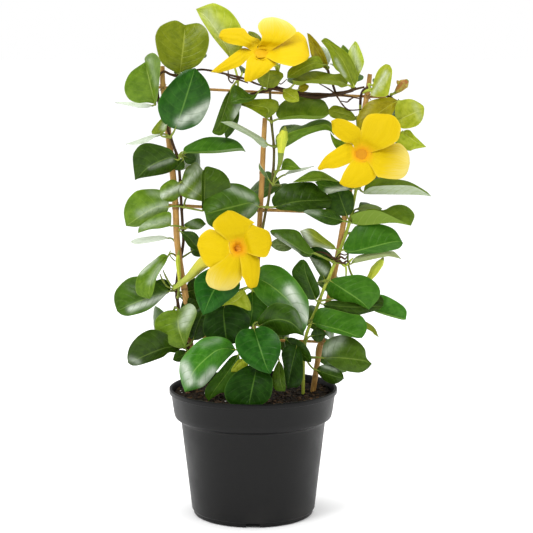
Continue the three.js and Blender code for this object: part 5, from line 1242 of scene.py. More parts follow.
def pot_material():
    """Charcoal moulded plastic with a satin skin, faint moulding lines, dust and scuffs."""
    board = Surface("Charcoal pot plastic", Specular_IOR_Level=0.2)
    place_on = board.where()
    speckle = board.speckle(1500.0)
    patches = speckle["Patches"]
    lines = board.grains(board.stretched(place_on, (30.0, 30.0, 1400.0)), 1.0, 2.0)
    scuffs = board.grains(board.stretched(place_on, (60.0, 60.0, 240.0)), 3.0, 5.0, 0.7)
    low = board.spread(board.split(place_on)["Z"], 0.0, 0.03, 1.0, 0.0)
    colour = board.blend(board.spread(patches, 0.35, 0.7), (9, 9, 9), (14, 14, 14))
    colour = board.blend(board.spread(scuffs, 0.64, 0.8, 0.0, 0.3), colour, (36, 35, 34))
    dust = board.times(low, board.spread(patches, 0.4, 0.7, 0.03, 0.3))
    colour = board.blend(dust, colour, (46, 43, 40))
    relief = board.plus(board.times(speckle["Grain"], 0.5), board.times(lines, 0.5))
    gloss = board.plus(board.spread(patches, 0.3, 0.7, 0.36, 0.48),
                       board.spread(scuffs, 0.6, 0.8, 0.0, 0.12))
    return board.finish(colour, gloss, relief, 0.12)


def ground_material(name, first, second, fleck, scale, roughness, depth):
    """Peat, bark or perlite: two colours in small patches, with paler or darker flecks."""
    board = Surface(name, Specular_IOR_Level=0.3)
    speckle = board.speckle(scale)
    grain = speckle["Grain"]
    colour = board.blend(board.spread(grain, 0.38, 0.62), first, second)
    colour = board.blend(board.spread(grain, 0.64, 0.74, 0.0, 0.6), colour, fleck)
    colour = board.shaded(colour, board.mark("seed"), 0.6, 1.6)
    gloss = board.spread(speckle["Patches"], 0.3, 0.7, roughness, roughness + 0.1)
    return board.finish(colour, gloss, grain, depth)


# Leaf tones: a tone's name, its darker and lighter green, its veins and its roughness
LEAF_GREENS = {
    "golden": ("golden olive", (118, 108, 8), (146, 136, 18), (172, 168, 62), 0.3),
    "olive": ("olive", (92, 108, 12), (116, 130, 24), (154, 164, 66), 0.3),
    "lime": ("lime", (134, 150, 22), (164, 176, 52), (190, 198, 104), 0.3),
    "fresh": ("light green", (74, 102, 14), (98, 126, 28), (142, 160, 74), 0.3),
    "bright": ("bright green", (46, 96, 14), (66, 118, 30), (120, 158, 70), 0.3),
    "mid": ("green", (46, 86, 10), (62, 104, 22), (112, 146, 56), 0.3),
    "vivid": ("cool green", (24, 68, 10), (40, 90, 20), (94, 138, 56), 0.3),
    "moss": ("moss green", (50, 76, 10), (66, 96, 20), (112, 136, 54), 0.3),
    "dark": ("dark green", (34, 58, 6), (50, 78, 12), (94, 120, 46), 0.3),
    "deep": ("deep green", (20, 46, 4), (32, 64, 10), (82, 116, 42), 0.3),
    # The grey green is partly the paler green of leaf undersides and partly painted sheen of light
    # glancing off them.
    "grey": ("grey green with painted sheen", (76, 96, 46), (108, 128, 76), (156, 168, 120), 0.26),
}
LEAF_TONES = {tone: leaf_material("Leaf " + name, *look) for tone, (name, *look) in LEAF_GREENS.items()}
TONE_ORDER = list(LEAF_TONES)
GREEN_STALK = stalk_material("Green stalk", (112, 132, 44), (142, 150, 60), (92, 84, 36))
LIME_STALK = stalk_material("Lime stalk", (150, 168, 52), (176, 186, 70), (120, 124, 44))
BROWN_STEM = stalk_material("Brown stem bark", (74, 48, 22), (58, 40, 18), (36, 24, 10), 0.6)
OLIVE_STEM = stalk_material("Olive stem", (96, 96, 38), (88, 72, 32), (60, 46, 22), 0.5)
BUD_SKIN = stalk_material("Bud skin", (196, 200, 58), (172, 186, 54), (126, 146, 44), 0.4)
BUD_TIPS = stalk_material("Young bud tips", (150, 96, 44), (164, 168, 66), (112, 58, 30), 0.5)
TWINE = stalk_material("Tie twine", (150, 118, 70), (126, 96, 54), (80, 58, 32), 0.8)
BAMBOO = bamboo_material()
PETAL = petal_material("Petal yellow", (214, 150, 18), (196, 128, 24))
PLAIN_PETAL = petal_material("Petal yellow, golden throat", (208, 172, 10), (212, 170, 24))
# Each throat's last colour, deep in its tube, is painted shade; the plain throat's is a dark brown.
THROAT = throat_material("Flower throat", (226, 166, 50), (206, 138, 34), (96, 56, 20))
ORANGE_THROAT = throat_material("Orange flower throat", (196, 136, 14), (188, 126, 10), (188, 122, 10))
GOLDEN_THROAT = throat_material("Golden flower throat", (202, 160, 8), (198, 152, 8), (196, 148, 10))
FLOWER_TUBE = flower_tube_material()
POT_PLASTIC = pot_material()
PEAT = ground_material("Moist peat", (44, 31, 18), (25, 17, 10), (92, 68, 40), 420.0, 0.8, 1.2)
BARK = ground_material("Bark chips", (80, 56, 31), (50, 35, 19), (122, 90, 54), 700.0, 0.75, 0.6)
PERLITE = ground_material("Perlite", (232, 230, 224), (212, 208, 198), (188, 182, 170), 900.0, 0.7, 0.5)

# The skins of each kind of flower, and its anthers: their tone, how lobed they are, and how deep in
# the throat each ring lies and how wide it is, as a part of the mouth's radius
THROATS = {
    "golden": {"skins": (PLAIN_PETAL, GOLDEN_THROAT), "tone": 0.5, "lobes": 0.02, "anthers": (
        (6.0, 0.4), (4.0, 0.54), (2.2, 0.7), (0.9, 0.86), (0.8, 0.8), (1.3, 0.5), (1.6, 0.1))},
    "orange": {"skins": (PETAL, ORANGE_THROAT), "tone": 0.5, "lobes": 0.03, "anthers": (
        (6.0, 0.4), (4.0, 0.54), (2.0, 0.7), (1.1, 0.79), (1.0, 0.74), (1.5, 0.45), (1.8, 0.1))},
    "dark": {"skins": (PETAL, THROAT), "tone": 0.0, "lobes": 0.12, "anthers": (
        (13.5, 0.5), (11, 0.46), (8.5, 0.36), (6.5, 0.22), (5.4, 0.08))},
}


# Pot and soil

POT_SIDES = 144


def ring_of(radius, z, sides):
    angle = around(sides)
    return np.stack([radius * np.cos(angle), radius * np.sin(angle), np.full(sides, z)], axis=-1)


def rounded_profile(corners):
    """A profile with rounded corners. Each corner is its radius, its height and its rounding."""
    profile = []
    for index, (radius, z, rounding) in enumerate(corners):
        here = np.array([radius, z])
        if rounding == 0 or index in (0, len(corners) - 1):
            profile.append(here)
            continue
        before = np.array(corners[index - 1][:2])
        after = np.array(corners[index + 1][:2])
        start = here + unit(before - here) * rounding
        end = here + unit(after - here) * rounding
        for t in (0, 0.25, 0.5, 0.75, 1):
            profile.append(bend_between(start, here, end, t))
    return profile


def evened(profile, longest):
    """The same profile with extra points, so that no step is longer than asked."""
    points = [profile[0]]
    for start, end in zip(profile[:-1], profile[1:]):
        parts = max(1, math.ceil(np.linalg.norm(end - start) / longest))
        points.extend(start + (end - start) * part / parts for part in range(1, parts + 1))
    return points


def make_pot():
    height = POT["height"]
    lip_foot = height - POT["lip_height"]
    wall = POT["wall"]
    corners = [
        (0, 0.8, 0), (40, 0.8, 1), (41, 0, 1), (POT["foot"], 0, POT["foot_corner"]),
        (POT["foot"], POT["wall_foot_z"] - 1.4, 0.6), (POT["wall_foot"], POT["wall_foot_z"], 0.9),
        (POT["shoulder"], POT["shoulder_z"], 2.4),
        (POT["band_foot"] - 1.2, POT["shoulder_z"] + POT["shoulder_rise"], 1.4),
        (POT["band_foot"], POT["band_foot_z"], 1.6),
        (POT["band_top"], lip_foot, 0.5), (POT["lip_radius"], lip_foot, 0.7),
        (POT["lip_radius"], height, 1.2), (POT["lip_radius"] - POT["lip_wall"], height, 0.9),
        (POT["band_top"] - wall, lip_foot, 1.2),
        (POT["band_foot"] - wall, POT["band_foot_z"] + 0.6, 1.4),
        (POT["shoulder"] - wall, POT["shoulder_z"] + 1.4, 2),
        (POT["wall_foot"] - wall, POT["wall_foot_z"] + wall, 1),
        (POT["foot"] - wall, POT["floor"] + 1.6, 0.8), (POT["foot"] - wall - 1.6, POT["floor"], 0.6),
        (0, POT["floor"], 0),
    ]
    profile = evened(rounded_profile(corners), 9)
    rings = np.array([ring_of(max(radius, 0.02), z, POT_SIDES) for radius, z in profile])
    whole = Piece("pot_shell", [POT_PLASTIC])
    whole.shell(rings, rings)
    pot = whole.build(30)
    cut_drain_slots(pot)
    settle(pot, "pot_plastic", "pot")


def cut_drain_slots(pot):
    """Cuts the slots with slanted upper corners through the foot of the wall."""
    cutter = Piece("drain_cutter", [POT_PLASTIC])
    half = DRAIN["width"] / 2
    top = DRAIN["height"]
    slant = DRAIN["slant"]
    outline = ((-half, -1), (half, -1), (half, top - slant), (half - slant, top), (slant - half, top),
               (-half, top - slant))
    for slot in range(DRAIN["count"]):
        rings = np.array([[[x, y, z] for y, z in outline] for x in (DRAIN["inner"], DRAIN["outer"])])
        rings = turn_about_z(rings, slot * TURN / DRAIN["count"])
        cutter.shell(rings, rings)
    tool = cutter.build()
    cut = pot.modifiers.new("drain slots", "BOOLEAN")
    cut.operation = "DIFFERENCE"
    cut.solver = "EXACT"
    cut.object = tool
    graph = bpy.context.evaluated_depsgraph_get()
    mesh = bpy.data.meshes.new_from_object(pot.evaluated_get(graph), preserve_all_data_layers=True,
                                           depsgraph=graph)
    pot.modifiers.remove(cut)
    pot.data = mesh
    bpy.data.objects.remove(tool)
    mesh.set_sharp_from_angle(angle=math.radians(30))


def soil_height(x, y):
    """The soil's height at a place: a low mound, lumps and crumbs."""
    away = math.hypot(x, y)
    mound = SOIL["mound"] * (1 - float(smooth_step(away, 20, SOIL["radius"])))
    mound += max(heap[3] * math.exp(-math.dist((x, y), heap[:2]) ** 2 / heap[2] ** 2) for heap in HEAPS)
    lumps = 1.1 * lumpy((x, y, 5), 13) + 0.75 * lumpy((x, y, 9), 4.2) + 0.5 * lumpy((x, y, 2), 1.9)
    return SOIL["top"] + mound + lumps * float(smooth_step(SOIL["radius"] + 1 - away, 0, 5))


# The loose crumbs on the soil: peat, bark and perlite, with how common each is, its least and most
# size, and how flat it lies
CRUMBS = 1500
CRUMB_SHARES = (0.63, 0.33, 0.04)
CRUMB_SIZES = ((0.7, 2.0), (0.9, 2.9), (0.5, 1.0))
CRUMB_HEIGHTS = (0.7, 0.38, 0.85)
PERLITE_KIND = 2
SOIL_SIDES = 170


def make_soil():
    rng = np.random.default_rng(17)
    piece = Piece("soil_and_crumbs", [PEAT, BARK, PERLITE])
    wall = POT["wall"]
    inside = [
        (0.05, POT["floor"] + 0.3), (POT["foot"] - wall - 4.6, POT["floor"] + 0.3),
        (POT["foot"] - wall - 0.5, POT["floor"] + 7), (POT["shoulder"] - wall - 0.6, POT["shoulder_z"]),
        (POT["band_foot"] - wall - 0.6, POT["band_foot_z"]), (SOIL["radius"] + 0.9, SOIL["top"] - 2),
    ]
    rings = [ring_of(radius, z, SOIL_SIDES) for radius, z in inside]
    for radius in np.linspace(SOIL["radius"] + 0.9, 0.4, 64):
        ring = ring_of(radius, 0, SOIL_SIDES)
        ring[:, 2] = [soil_height(x, y) for x, y, _ in ring]
        rings.append(ring)
    rings = np.array(rings)
    piece.shell(rings, rings, 0, 0.35)
    for _ in range(CRUMBS):
        away = SOIL["radius"] * math.sqrt(rng.uniform(0, 0.985))
        turn = rng.uniform(0, TURN)
        x = away * math.cos(turn)
        y = away * math.sin(turn)
        kind = int(rng.choice([0, 1, PERLITE_KIND], p=CRUMB_SHARES))
        size = [rng.uniform(*sizes) for sizes in CRUMB_SIZES][kind]
        flat = CRUMB_HEIGHTS[kind]
        if away + size > SOIL["radius"] + 0.4:
            continue
        centre = np.array([x, y, soil_height(x, y) + size * flat * rng.uniform(0.0, 0.5)])
        points = crumb(rng, centre, size, flat)
        seed = rng.uniform(0, 1)
        piece.add(points, CRUMB_FACES, points, kind, 0.4 * seed if kind == PERLITE_KIND else seed)
    settle(piece.build(50), "potting_soil", "potting_soil")


# Trellis

def sunk_path(path, span, depth):
    """A path carried on straight past its last sample, into the soil."""
    down = unit(path[-1][:3] - path[-1 - span][:3])
    steps = np.linspace(0, depth, 6)[1:]
    extra = [[*(path[-1][:3] + down * step), path[-1][3]] for step in steps]
    return np.vstack([path, extra])


def near_marks(travelled, places, width):
    """How close each place along a cane is to one of its node rings, from 0 to 1."""
    gaps = np.abs(np.asarray(travelled)[:, None] - np.asarray(places)[None, :])
    return np.exp(-(gaps.min(axis=1) / width) ** 2)


# A cane's sides, its samples from point to point, and its hollow as a part of its radius
CANE_SIDES = 28
CANE_STEPS = 34
CANE_HOLLOW = 0.42


def cut_cane(piece, path, node_places):
    """A cane with swollen node rings and a cut end that shows its hollow."""
    travelled = travelled_along(path[:, :3])
    shaped = path.copy()
    shaped[:, 3] *= 1 + 0.13 * near_marks(travelled, node_places, 1.5)
    rings, marks = tube_rings(shaped, CANE_SIDES)
    down = unit(path[1][:3] - path[0][:3])
    ends = []
    for size, sink in ((CANE_HOLLOW * 0.8, 2.4), (CANE_HOLLOW, 0.3), (0.93, 0.0)):
        ends.append(path[0][:3] + (rings[0] - path[0][:3]) * size + down * sink)
    rings[0] += down * 0.35
    rings = np.vstack([np.array(ends), rings])
    marks = np.vstack([np.array([marks[0]] * 3) * [0.5, 0.5, 1], marks])
    # Inside the hollow the rings take the node brown, more strongly further in, as painted shade.
    tone = np.concatenate([[0.9, 0.6, 0.0], near_marks(travelled, node_places, 1.0)])
    piece.shell(rings, marks, 0, tone)


def make_canes():
    for cane in CANES:
        rows = []
        for index, pixel in enumerate(cane["path"]):
            radius = cane["tip"] + (cane["radius"] - cane["tip"]) * min(index / 2, 1)
            rows.append([*pixel, cane["y"], radius])
        path = sunk_path(placed_path(rows, CANE_STEPS), CANE_STEPS, CANE_DEPTH)
        piece = Piece(cane["name"] + "_skin", [BAMBOO])
        cut_cane(piece, path, cane["nodes"])
        settle(piece.build(35), "bamboo", cane["name"])


def tie(piece, pixel):
    """Two crossed loops of twine around a cane and the rung behind it."""
    centre = place([*pixel, TIE_Y])
    for lean in (-TIE_LEAN, TIE_LEAN):
        angle = np.linspace(0, TURN, 25)
        flat = np.cos(angle) * TIE_HALF_WIDTH
        points = np.stack([
            centre[0] + flat * math.cos(lean), centre[1] + np.sin(angle) * TIE_HALF_DEPTH,
            centre[2] + flat * math.sin(lean),
        ], axis=-1)
        piece.tube(np.hstack([points, np.full((25, 1), TWINE_RADIUS)]), 8, 1)


def split_side(travelled, angle):
    """A rung's half round section, flat at the back, and a little uneven along it."""
    flat = np.minimum(1.0, 0.45 / np.maximum(np.sin(angle), 0.01))
    return flat * (1 + 0.03 * np.sin(travelled * 0.21) + 0.02 * np.sin(travelled * 0.9))


RUNG_SAMPLES = 60


def make_rungs():
    for rung in RUNGS:
        start, end = [place([*pixel, RUNG_Y]) for pixel in rung["ends"]]
        t = np.linspace(0, 1, RUNG_SAMPLES)[:, None]
        points = start + (end - start) * t
        points[:, 2] += 0.5 * np.sin(t[:, 0] * 9) * rung["radius"] * 0.3
        piece = Piece(rung["name"] + "_split_cane", [BAMBOO, TWINE])
        path = np.hstack([points, np.full((RUNG_SAMPLES, 1), rung["radius"])])
        piece.tube(path, 16, ridges=split_side)
        for pixel in rung["ties"]:
            tie(piece, pixel)
        settle(piece.build(35), "bamboo", rung["name"])


# Stems

# Each vine's runs as fine paths, to find the nodes on them
STEM_RUNS = {vine["name"]: [placed_path(run, 12) for run in vine["runs"]] for vine in VINES}


def node_on(vine, pixel):
    """The nearest place of a stem to a pixel, with the stem's radius there."""
    samples = np.vstack(STEM_RUNS[vine])
    gaps = [np.linalg.norm(place([*pixel, sample[1]]) - sample[:3]) for sample in samples]
    return samples[np.argmin(gaps)]


def hub_centre(entry):
    """Where a stalk leaves its stem: beside the stem, just off its skin."""
    sample = node_on(entry["vine"], entry["at"])
    return sample[:3] + unit(entry["seat"]) * (sample[3] + HUB_RADIUS + SEAT_GAP)


# How much a stem swells at a node and how far along it, in millimetres, and the part of the right
# stem where its brown bark starts
NODE_SWELLING = 0.42
NODE_REACH = 2.6
RIGHT_BARK_FROM = 0.62


def make_stems():
    looks = {
        "left_vine": [BROWN_STEM, GREEN_STALK], "middle_vine": [OLIVE_STEM, BROWN_STEM],
        "right_vine": [LIME_STALK, BROWN_STEM],
    }
    for vine in VINES:
        attached = [entry for entry in LEAF_GROUPS + FLOWERS + BUDS if entry["vine"] == vine["name"]]
        nodes = np.array([node_on(entry["vine"], entry["at"])[:3] for entry in attached])
        piece = Piece(vine["name"] + "_bark", looks[vine["name"]])
        for index, run in enumerate(vine["runs"]):
            path = placed_path(run, 14)
            if index == 0:
                path = sunk_path(path[::-1], 14, STEM_DEPTH)[::-1]
            gaps = np.linalg.norm(path[:, None, :3] - nodes[None], axis=2).min(axis=1)
            path[:, 3] += NODE_SWELLING * np.exp(-(gaps / NODE_REACH) ** 2)
            path[:, 3] *= 1 + 0.05 * np.array([bumpy(point, 5.0) for point in path[:, :3]])
            path = rounded_end(path)
            barky = np.zeros(len(path) - 1, int)
            if vine["name"] == "right_vine":
                barky[int(len(barky) * RIGHT_BARK_FROM):] = 1
            elif vine["name"] == "middle_vine" and index in (1, 2):
                barky[:] = 1
            piece.tube(path, 12, barky)
        for skin, strands in enumerate(STRANDS[vine["name"]]):
            for strand in strands:
                path = rounded_end(placed_path(strand, 8))
                path[:, 3] *= 1 + 0.12 * np.array([bumpy(point, 3.0) for point in path[:, :3]])
                piece.tube(path, 10, skin)
        settle(piece.build(60), "stem", vine["name"])


# Leaves

# Places across a blade from its left edge to its right, closer together by the midrib
ACROSS = np.array([-1, -0.9, -0.76, -0.6, -0.44, -0.29, -0.16, -0.06, 0,
                   0.06, 0.16, 0.29, 0.44, 0.6, 0.76, 0.9, 1])
# A blade's thickness and how far it swells between its veins in millimetres, and how full its oval is
LEAF_THICKNESS = 0.42
LEAF_QUILT = 0.42
LEAF_FULLNESS = 0.6


def blade_axes(base, tip, roll):
    """A blade's unit vectors: along its midrib, its upper face's normal, and its side."""
    along = unit(tip - base)
    front = square_to(np.array([0, -1.0, 0]), along)
    skyward = np.cross(along, front)
    if skyward[2] + 0.3 * skyward[0] < 0:
        skyward = -skyward
    turn = math.radians(roll)
    normal = front * math.cos(turn) + skyward * math.sin(turn)
    return along, normal, np.cross(along, normal)


def leaf_outline(t, look):
    """A leaf's half width along its length, as a fraction: oval, with a short drawn-out tip."""
    oval = np.maximum(np.sin(math.pi * np.minimum(t, 1) ** look["belly"]), 0) ** LEAF_FULLNESS
    return oval * (1 - look["drip"] * smooth_step(t, 0.78, 1.0))


def leaf_look(shape, rng):
    """How a leaf bends and ripples: small random values, unless its row gives its own curl."""
    look = {
        "belly": 0.94 + rng.uniform(-0.05, 0.08), "drip": rng.uniform(0.05, 0.3),
        "curl": rng.uniform(0.15, 0.4), "wave": rng.uniform(0.02, 0.07),
        "twist": rng.uniform(-14, 14), "sway": rng.uniform(-0.04, 0.04),
        "ess": rng.uniform(-0.02, 0.03), "skew": rng.uniform(-0.08, 0.08),
        "phase": rng.uniform(0, 6), "ripples": rng.uniform(1.6, 2.6),
    }
    look["curl"] = shape.get("curl", look["curl"])
    return look


def quilting(t, seed, half):
    """How far the blade swells between its side veins, in millimetres."""
    s = ACROSS[None, :]
    out = np.abs(s)
    vein = (t[:, None] - VEIN_SWEEP * out ** 1.4) * VEIN_COUNT + VEIN_STAGGER * (s > 0) + seed
    swell = np.sin(math.pi * vein) ** 2 - 0.5
    return LEAF_QUILT * swell * (1 - out ** 4) * np.minimum(1, out * 3.2) * np.minimum(1, half / 12)


def creased(s):
    """How far out a place across a blade is, with a soft crease at the midrib."""
    return np.sqrt(s * s + 0.004) - 0.063


def plain_surface(shape, look, t, seed):
    """The middle surface of a leaf that is set by its base, tip, width, roll, fold and arch."""
    base = place(shape["base"])
    tip = place(shape["tip"])
    along, normal, side = blade_axes(base, tip, shape["roll"])
    length = np.linalg.norm(tip - base)
    lift = shape["arch"] * bow(t) + look["ess"] * length * np.sin(TURN * t)
    drift = look["sway"] * length * np.sin(math.pi * t)
    midrib = base + along * (length * t)[:, None] + normal * lift[:, None] + side * drift[:, None]
    heading = normalised(np.gradient(midrib, axis=0))
    turn = np.radians(look["twist"]) * (t - 0.35)
    leaning = side * np.cos(turn)[:, None] + normal * np.sin(turn)[:, None]
    leaning = normalised(leaning - heading * np.sum(leaning * heading, axis=1)[:, None])
    facing = np.cross(leaning, heading)
    s = ACROSS[None, :]
    row = t[:, None]
    half = shape["width"] / 2 * leaf_outline(t, look)
    half = np.maximum(half, 0.8 * (1 - t) + 0.28)[:, None]
    half = half * (1 + look["skew"] * np.sign(s) * np.sin(math.pi * row))
    fold = math.radians(shape["fold"]) * (1 - 0.25 * row)
    rise = half * np.sin(fold) * creased(s)
    rise = rise - half * look["curl"] * s * s * (0.35 + 0.65 * row)
    rise = rise + half * look["wave"] * s * s * np.sin(
        TURN * look["ripples"] * row + look["phase"] + 1.9 * np.sign(s))
    rise = rise + quilting(t, seed, half)
    reach = half * s * np.cos(fold)
    return midrib[:, None] + leaning[:, None] * reach[..., None] + facing[:, None] * rise[..., None]


def traced_surface(shape, look, t, seed):
    """The middle surface of a leaf that keeps the outline in the photograph."""
    base = shape["base"]
    tip = shape["tip"]
    rib, *edges = [
        along_line([base[:2], *shape[name], tip[:2]], t, 8) for name in ("rib", "first", "second")]
    s = ACROSS[None, :]
    row = t[:, None]
    y = base[2] + (tip[2] - base[2]) * row - shape["arch"] * bow(row)
    pixels = rib[:, None]
    for sign, edge, angle in zip((-1, 1), edges, shape["turned"]):
        here = s * sign > 0
        across = edge - rib
        half = np.linalg.norm(across, axis=1)[:, None]
        true_half = half / math.cos(math.radians(angle))
        depth = -math.tan(math.radians(angle)) * half * creased(s)
        depth = depth + look["curl"] * half * s * s * (0.35 + 0.65 * row)
        ripple = np.sin(TURN * look["ripples"] * row + look["phase"])
        depth = depth + look["wave"] * true_half * s * s * ripple
        depth = depth - quilting(t, seed, true_half)
        y = y + np.where(here, depth, 0)
        pixels = pixels + np.where(here, np.abs(s), 0)[..., None] * across[:, None]
    return place((pixels[..., 0], pixels[..., 1], y))


def shine_on(points, spots):
    """How much highlight is painted into a leaf's colour at its points.

    A spot has two ends and a half width in pixels, and its strength.
    """
    shine = np.zeros(points.shape[:-1])
    seen = pixels_of(points)
    for spot in spots:
        start = np.array(spot[:2], float)
        run = np.array(spot[2:4]) - start
        part = np.clip(np.sum((seen - start) * run, axis=-1) / np.dot(run, run), 0, 1)
        gap = np.linalg.norm(seen - start - part[..., None] * run, axis=-1)
        shine = np.maximum(shine, spot[5] * np.exp(-(gap / spot[4]) ** 2))
    return shine


def leaf_blade(piece, shape, look, material, seed):
    """A leaf blade as a thin closed shell, and the path of its midrib."""
    length = np.linalg.norm(place(shape["tip"]) - place(shape["base"]))
    rows = int(np.clip(length / 1.5, 14, 50))
    even = np.linspace(0, 1, rows)
    t = 0.45 * even + 0.55 * (0.5 - 0.5 * np.cos(math.pi * even))
    make_surface = traced_surface if "first" in shape else plain_surface
    middle = make_surface(shape, look, t, seed)
    centre = len(ACROSS) // 2
    down = np.gradient(middle, axis=0)
    over = np.gradient(middle, axis=1)
    for row, like in ((0, 2), (-1, -3)):
        over[row] = over[like]
    facing = np.cross(over, down)
    facing /= np.maximum(np.linalg.norm(facing, axis=2), 1e-6)[..., None]
    out = np.abs(ACROSS)[None, :]
    row = t[:, None]
    reach = np.linalg.norm(middle - middle[:, centre:centre + 1], axis=2)
    thick = LEAF_THICKNESS * (1 - 0.6 * out ** 4)
    groove = 0.28 * np.exp(-(reach / 0.9) ** 2) * (1 - row)
    ridge = (0.3 + 0.75 * (1 - row)) * np.exp(-reach ** 2)
    upper = middle + facing * (thick / 2 - groove)[..., None]
    lower = middle - facing * (thick / 2 + ridge)[..., None]
    rings, marks = two_faced(upper, lower, ACROSS, t)
    if shape.get("under"):
        marks[..., 2] = 1 - marks[..., 2]
    # Painted highlights: at the listed spots on the upper face, and a painted sheen over the face that
    # shows the underside.
    shine = shine_on(upper, shape.get("shine", []))
    shine = np.concatenate([shine, np.zeros_like(shine)], axis=1)
    # Over the face that shows the underside, a pale sheen is painted in at the level its row gives.
    shine = np.where(marks[..., 2] > 0.5, np.maximum(shine, shape.get("silver", 0)), shine)
    piece.shell(rings, marks, material, seed, shine)
    return middle[:, centre], facing[:, centre]


def leaf_stalk(piece, start, shape, midrib, facing, material, seed):
    """A leaf's stalk, from its node into the underside of the midrib."""
    base = midrib[0]
    along = unit(place(shape["tip"]) - base)
    control = base - along * shape.get("bend", 0.35) * np.linalg.norm(base - start)
    path = [[*bend_between(start, control, base, t), 1.15 - 0.3 * t] for t in np.linspace(0, 1, 10)]
    for row, radius in ((2, 0.75), (4, 0.6), (7, 0.4)):
        path.append([*(midrib[row] - facing[row] * 0.55), radius])
    piece.tube(np.array(path), 8, material, seed)


def make_leaves():
    rng = np.random.default_rng(5)
    count = 0
    for group in LEAF_GROUPS:
        tones = sorted({shape["tone"] for shape in group["leaves"]}, key=TONE_ORDER.index)
        stalk = LIME_STALK if "lime" in tones else GREEN_STALK
        piece = Piece(group["name"] + "_blades", [LEAF_TONES[tone] for tone in tones] + [stalk])
        centre = hub_centre(group)
        hub(piece, centre, len(tones))
        for shape in group["leaves"]:
            seed = (count * 0.618) % 1
            look = leaf_look(shape, rng)
            blade = leaf_blade(piece, shape, look, tones.index(shape["tone"]), seed)
            leaf_stalk(piece, centre, shape, blade[0], blade[1], len(tones), seed)
            count += 1
        settle(piece.build(70), "leaf", group["name"])


# Flowers

# Millimetres: how thick a petal is, how far it leans over its neighbour and how far its sides curl back
PETAL_THICKNESS = 0.5
PETAL_TILT = 1.6
PETAL_CURL = 3.0
PETAL_COLUMNS = 23
PETAL_ROWS = 30


def on_plane(pixel, origin, normal, height):
    """The point on a pixel's line of sight that stands at a height off a plane."""
    line = np.array(sight(pixel))
    return EYE + line * ((np.dot(origin - EYE, normal) + height) / np.dot(line, normal))


# Inside the throat: parts of its mouth's radius, and how deep each lies in millimetres
THROAT_STEPS = ((0.24, 15.0), (0.3, 11.0), (0.4, 7.0), (0.54, 3.8), (0.7, 1.8), (0.86, 0.6))


def petal_middle(throat, faces, normal, shape, phase):
    """The middle surface of a petal, from deep in the throat to its tip."""
    centre = np.array(shape["mouth"], float)
    t = np.linspace(0, 1, PETAL_ROWS)
    s = np.linspace(-1, 1, PETAL_COLUMNS)
    edges = [along_line(edge, t, 10) for edge in shape["edges"]]
    outer = np.zeros((PETAL_ROWS, PETAL_COLUMNS, 3))
    for i, row in enumerate(t):
        leave = max(0.0, 1 - row / 0.22)
        radii = [np.linalg.norm(edge[i] - centre) for edge in edges]
        plane = unit(faces * leave + normal * (1 - leave))
        for j, col in enumerate(s):
            pixel = edges[0][i] * (1 - col) / 2 + edges[1][i] * (1 + col) / 2
            away = pixel - centre
            wanted = radii[0] * (1 - col) / 2 + radii[1] * (1 + col) / 2
            pixel = centre + away * (1 + (wanted / np.linalg.norm(away) - 1) * leave)
            height = shape["arch"] * math.sin(math.pi * min(row, 1)) * smooth_step(row, 0, 0.3)
            height += PETAL_TILT * col * min(row * 2.5, 1)
            height -= PETAL_CURL * col * col * row
            height += 0.6 * math.sin(2.2 * TURN * row + phase + 2 * col) * col * col * row
            height += 0.35 * math.sin(9 * col + phase) * (1 - abs(col)) * math.sin(math.pi * row)
            outer[i, j] = on_plane(pixel, throat, plane, height)
    inner = [throat + (outer[0] - throat) * size - faces * depth for size, depth in THROAT_STEPS]
    depths = [-0.04 * (len(THROAT_STEPS) - step) for step in range(len(THROAT_STEPS))]
    return np.concatenate([np.array(inner), outer]), np.concatenate([depths, t]), s


def petal_blade(piece, throat, faces, shape, seed, rng):
    """A petal between two edges that run from the throat to its tip, as a thin closed shell."""
    tip = place(shape["tip"])
    along = unit(tip - throat)
    normal = square_to(faces, along)
    middle, t, s = petal_middle(throat, faces, normal, shape, rng.uniform(0, 6))
    down = np.gradient(middle, axis=0)
    over = np.gradient(middle, axis=1)
    facing = np.cross(over, down)
    lengths = np.linalg.norm(facing, axis=2)[..., None]
    facing = np.where(lengths > 1e-6, facing / np.maximum(lengths, 1e-6), normal)
    outward = np.sum(facing[10] * normal, axis=1).sum()
    facing *= 1 if outward > 0 else -1
    rim = (1 - 0.65 * np.abs(s) ** 4)[None, :] * (1 - 0.6 * np.maximum(t, 0) ** 6)[:, None]
    offset = facing * (PETAL_THICKNESS / 2 * rim)[..., None]
    rings, marks = two_faced(middle + offset, middle - offset, s, t)
    if outward < 0:
        rings = rings[:, ::-1]
        marks = marks[:, ::-1]
    piece.shell(rings, marks, 0, seed)


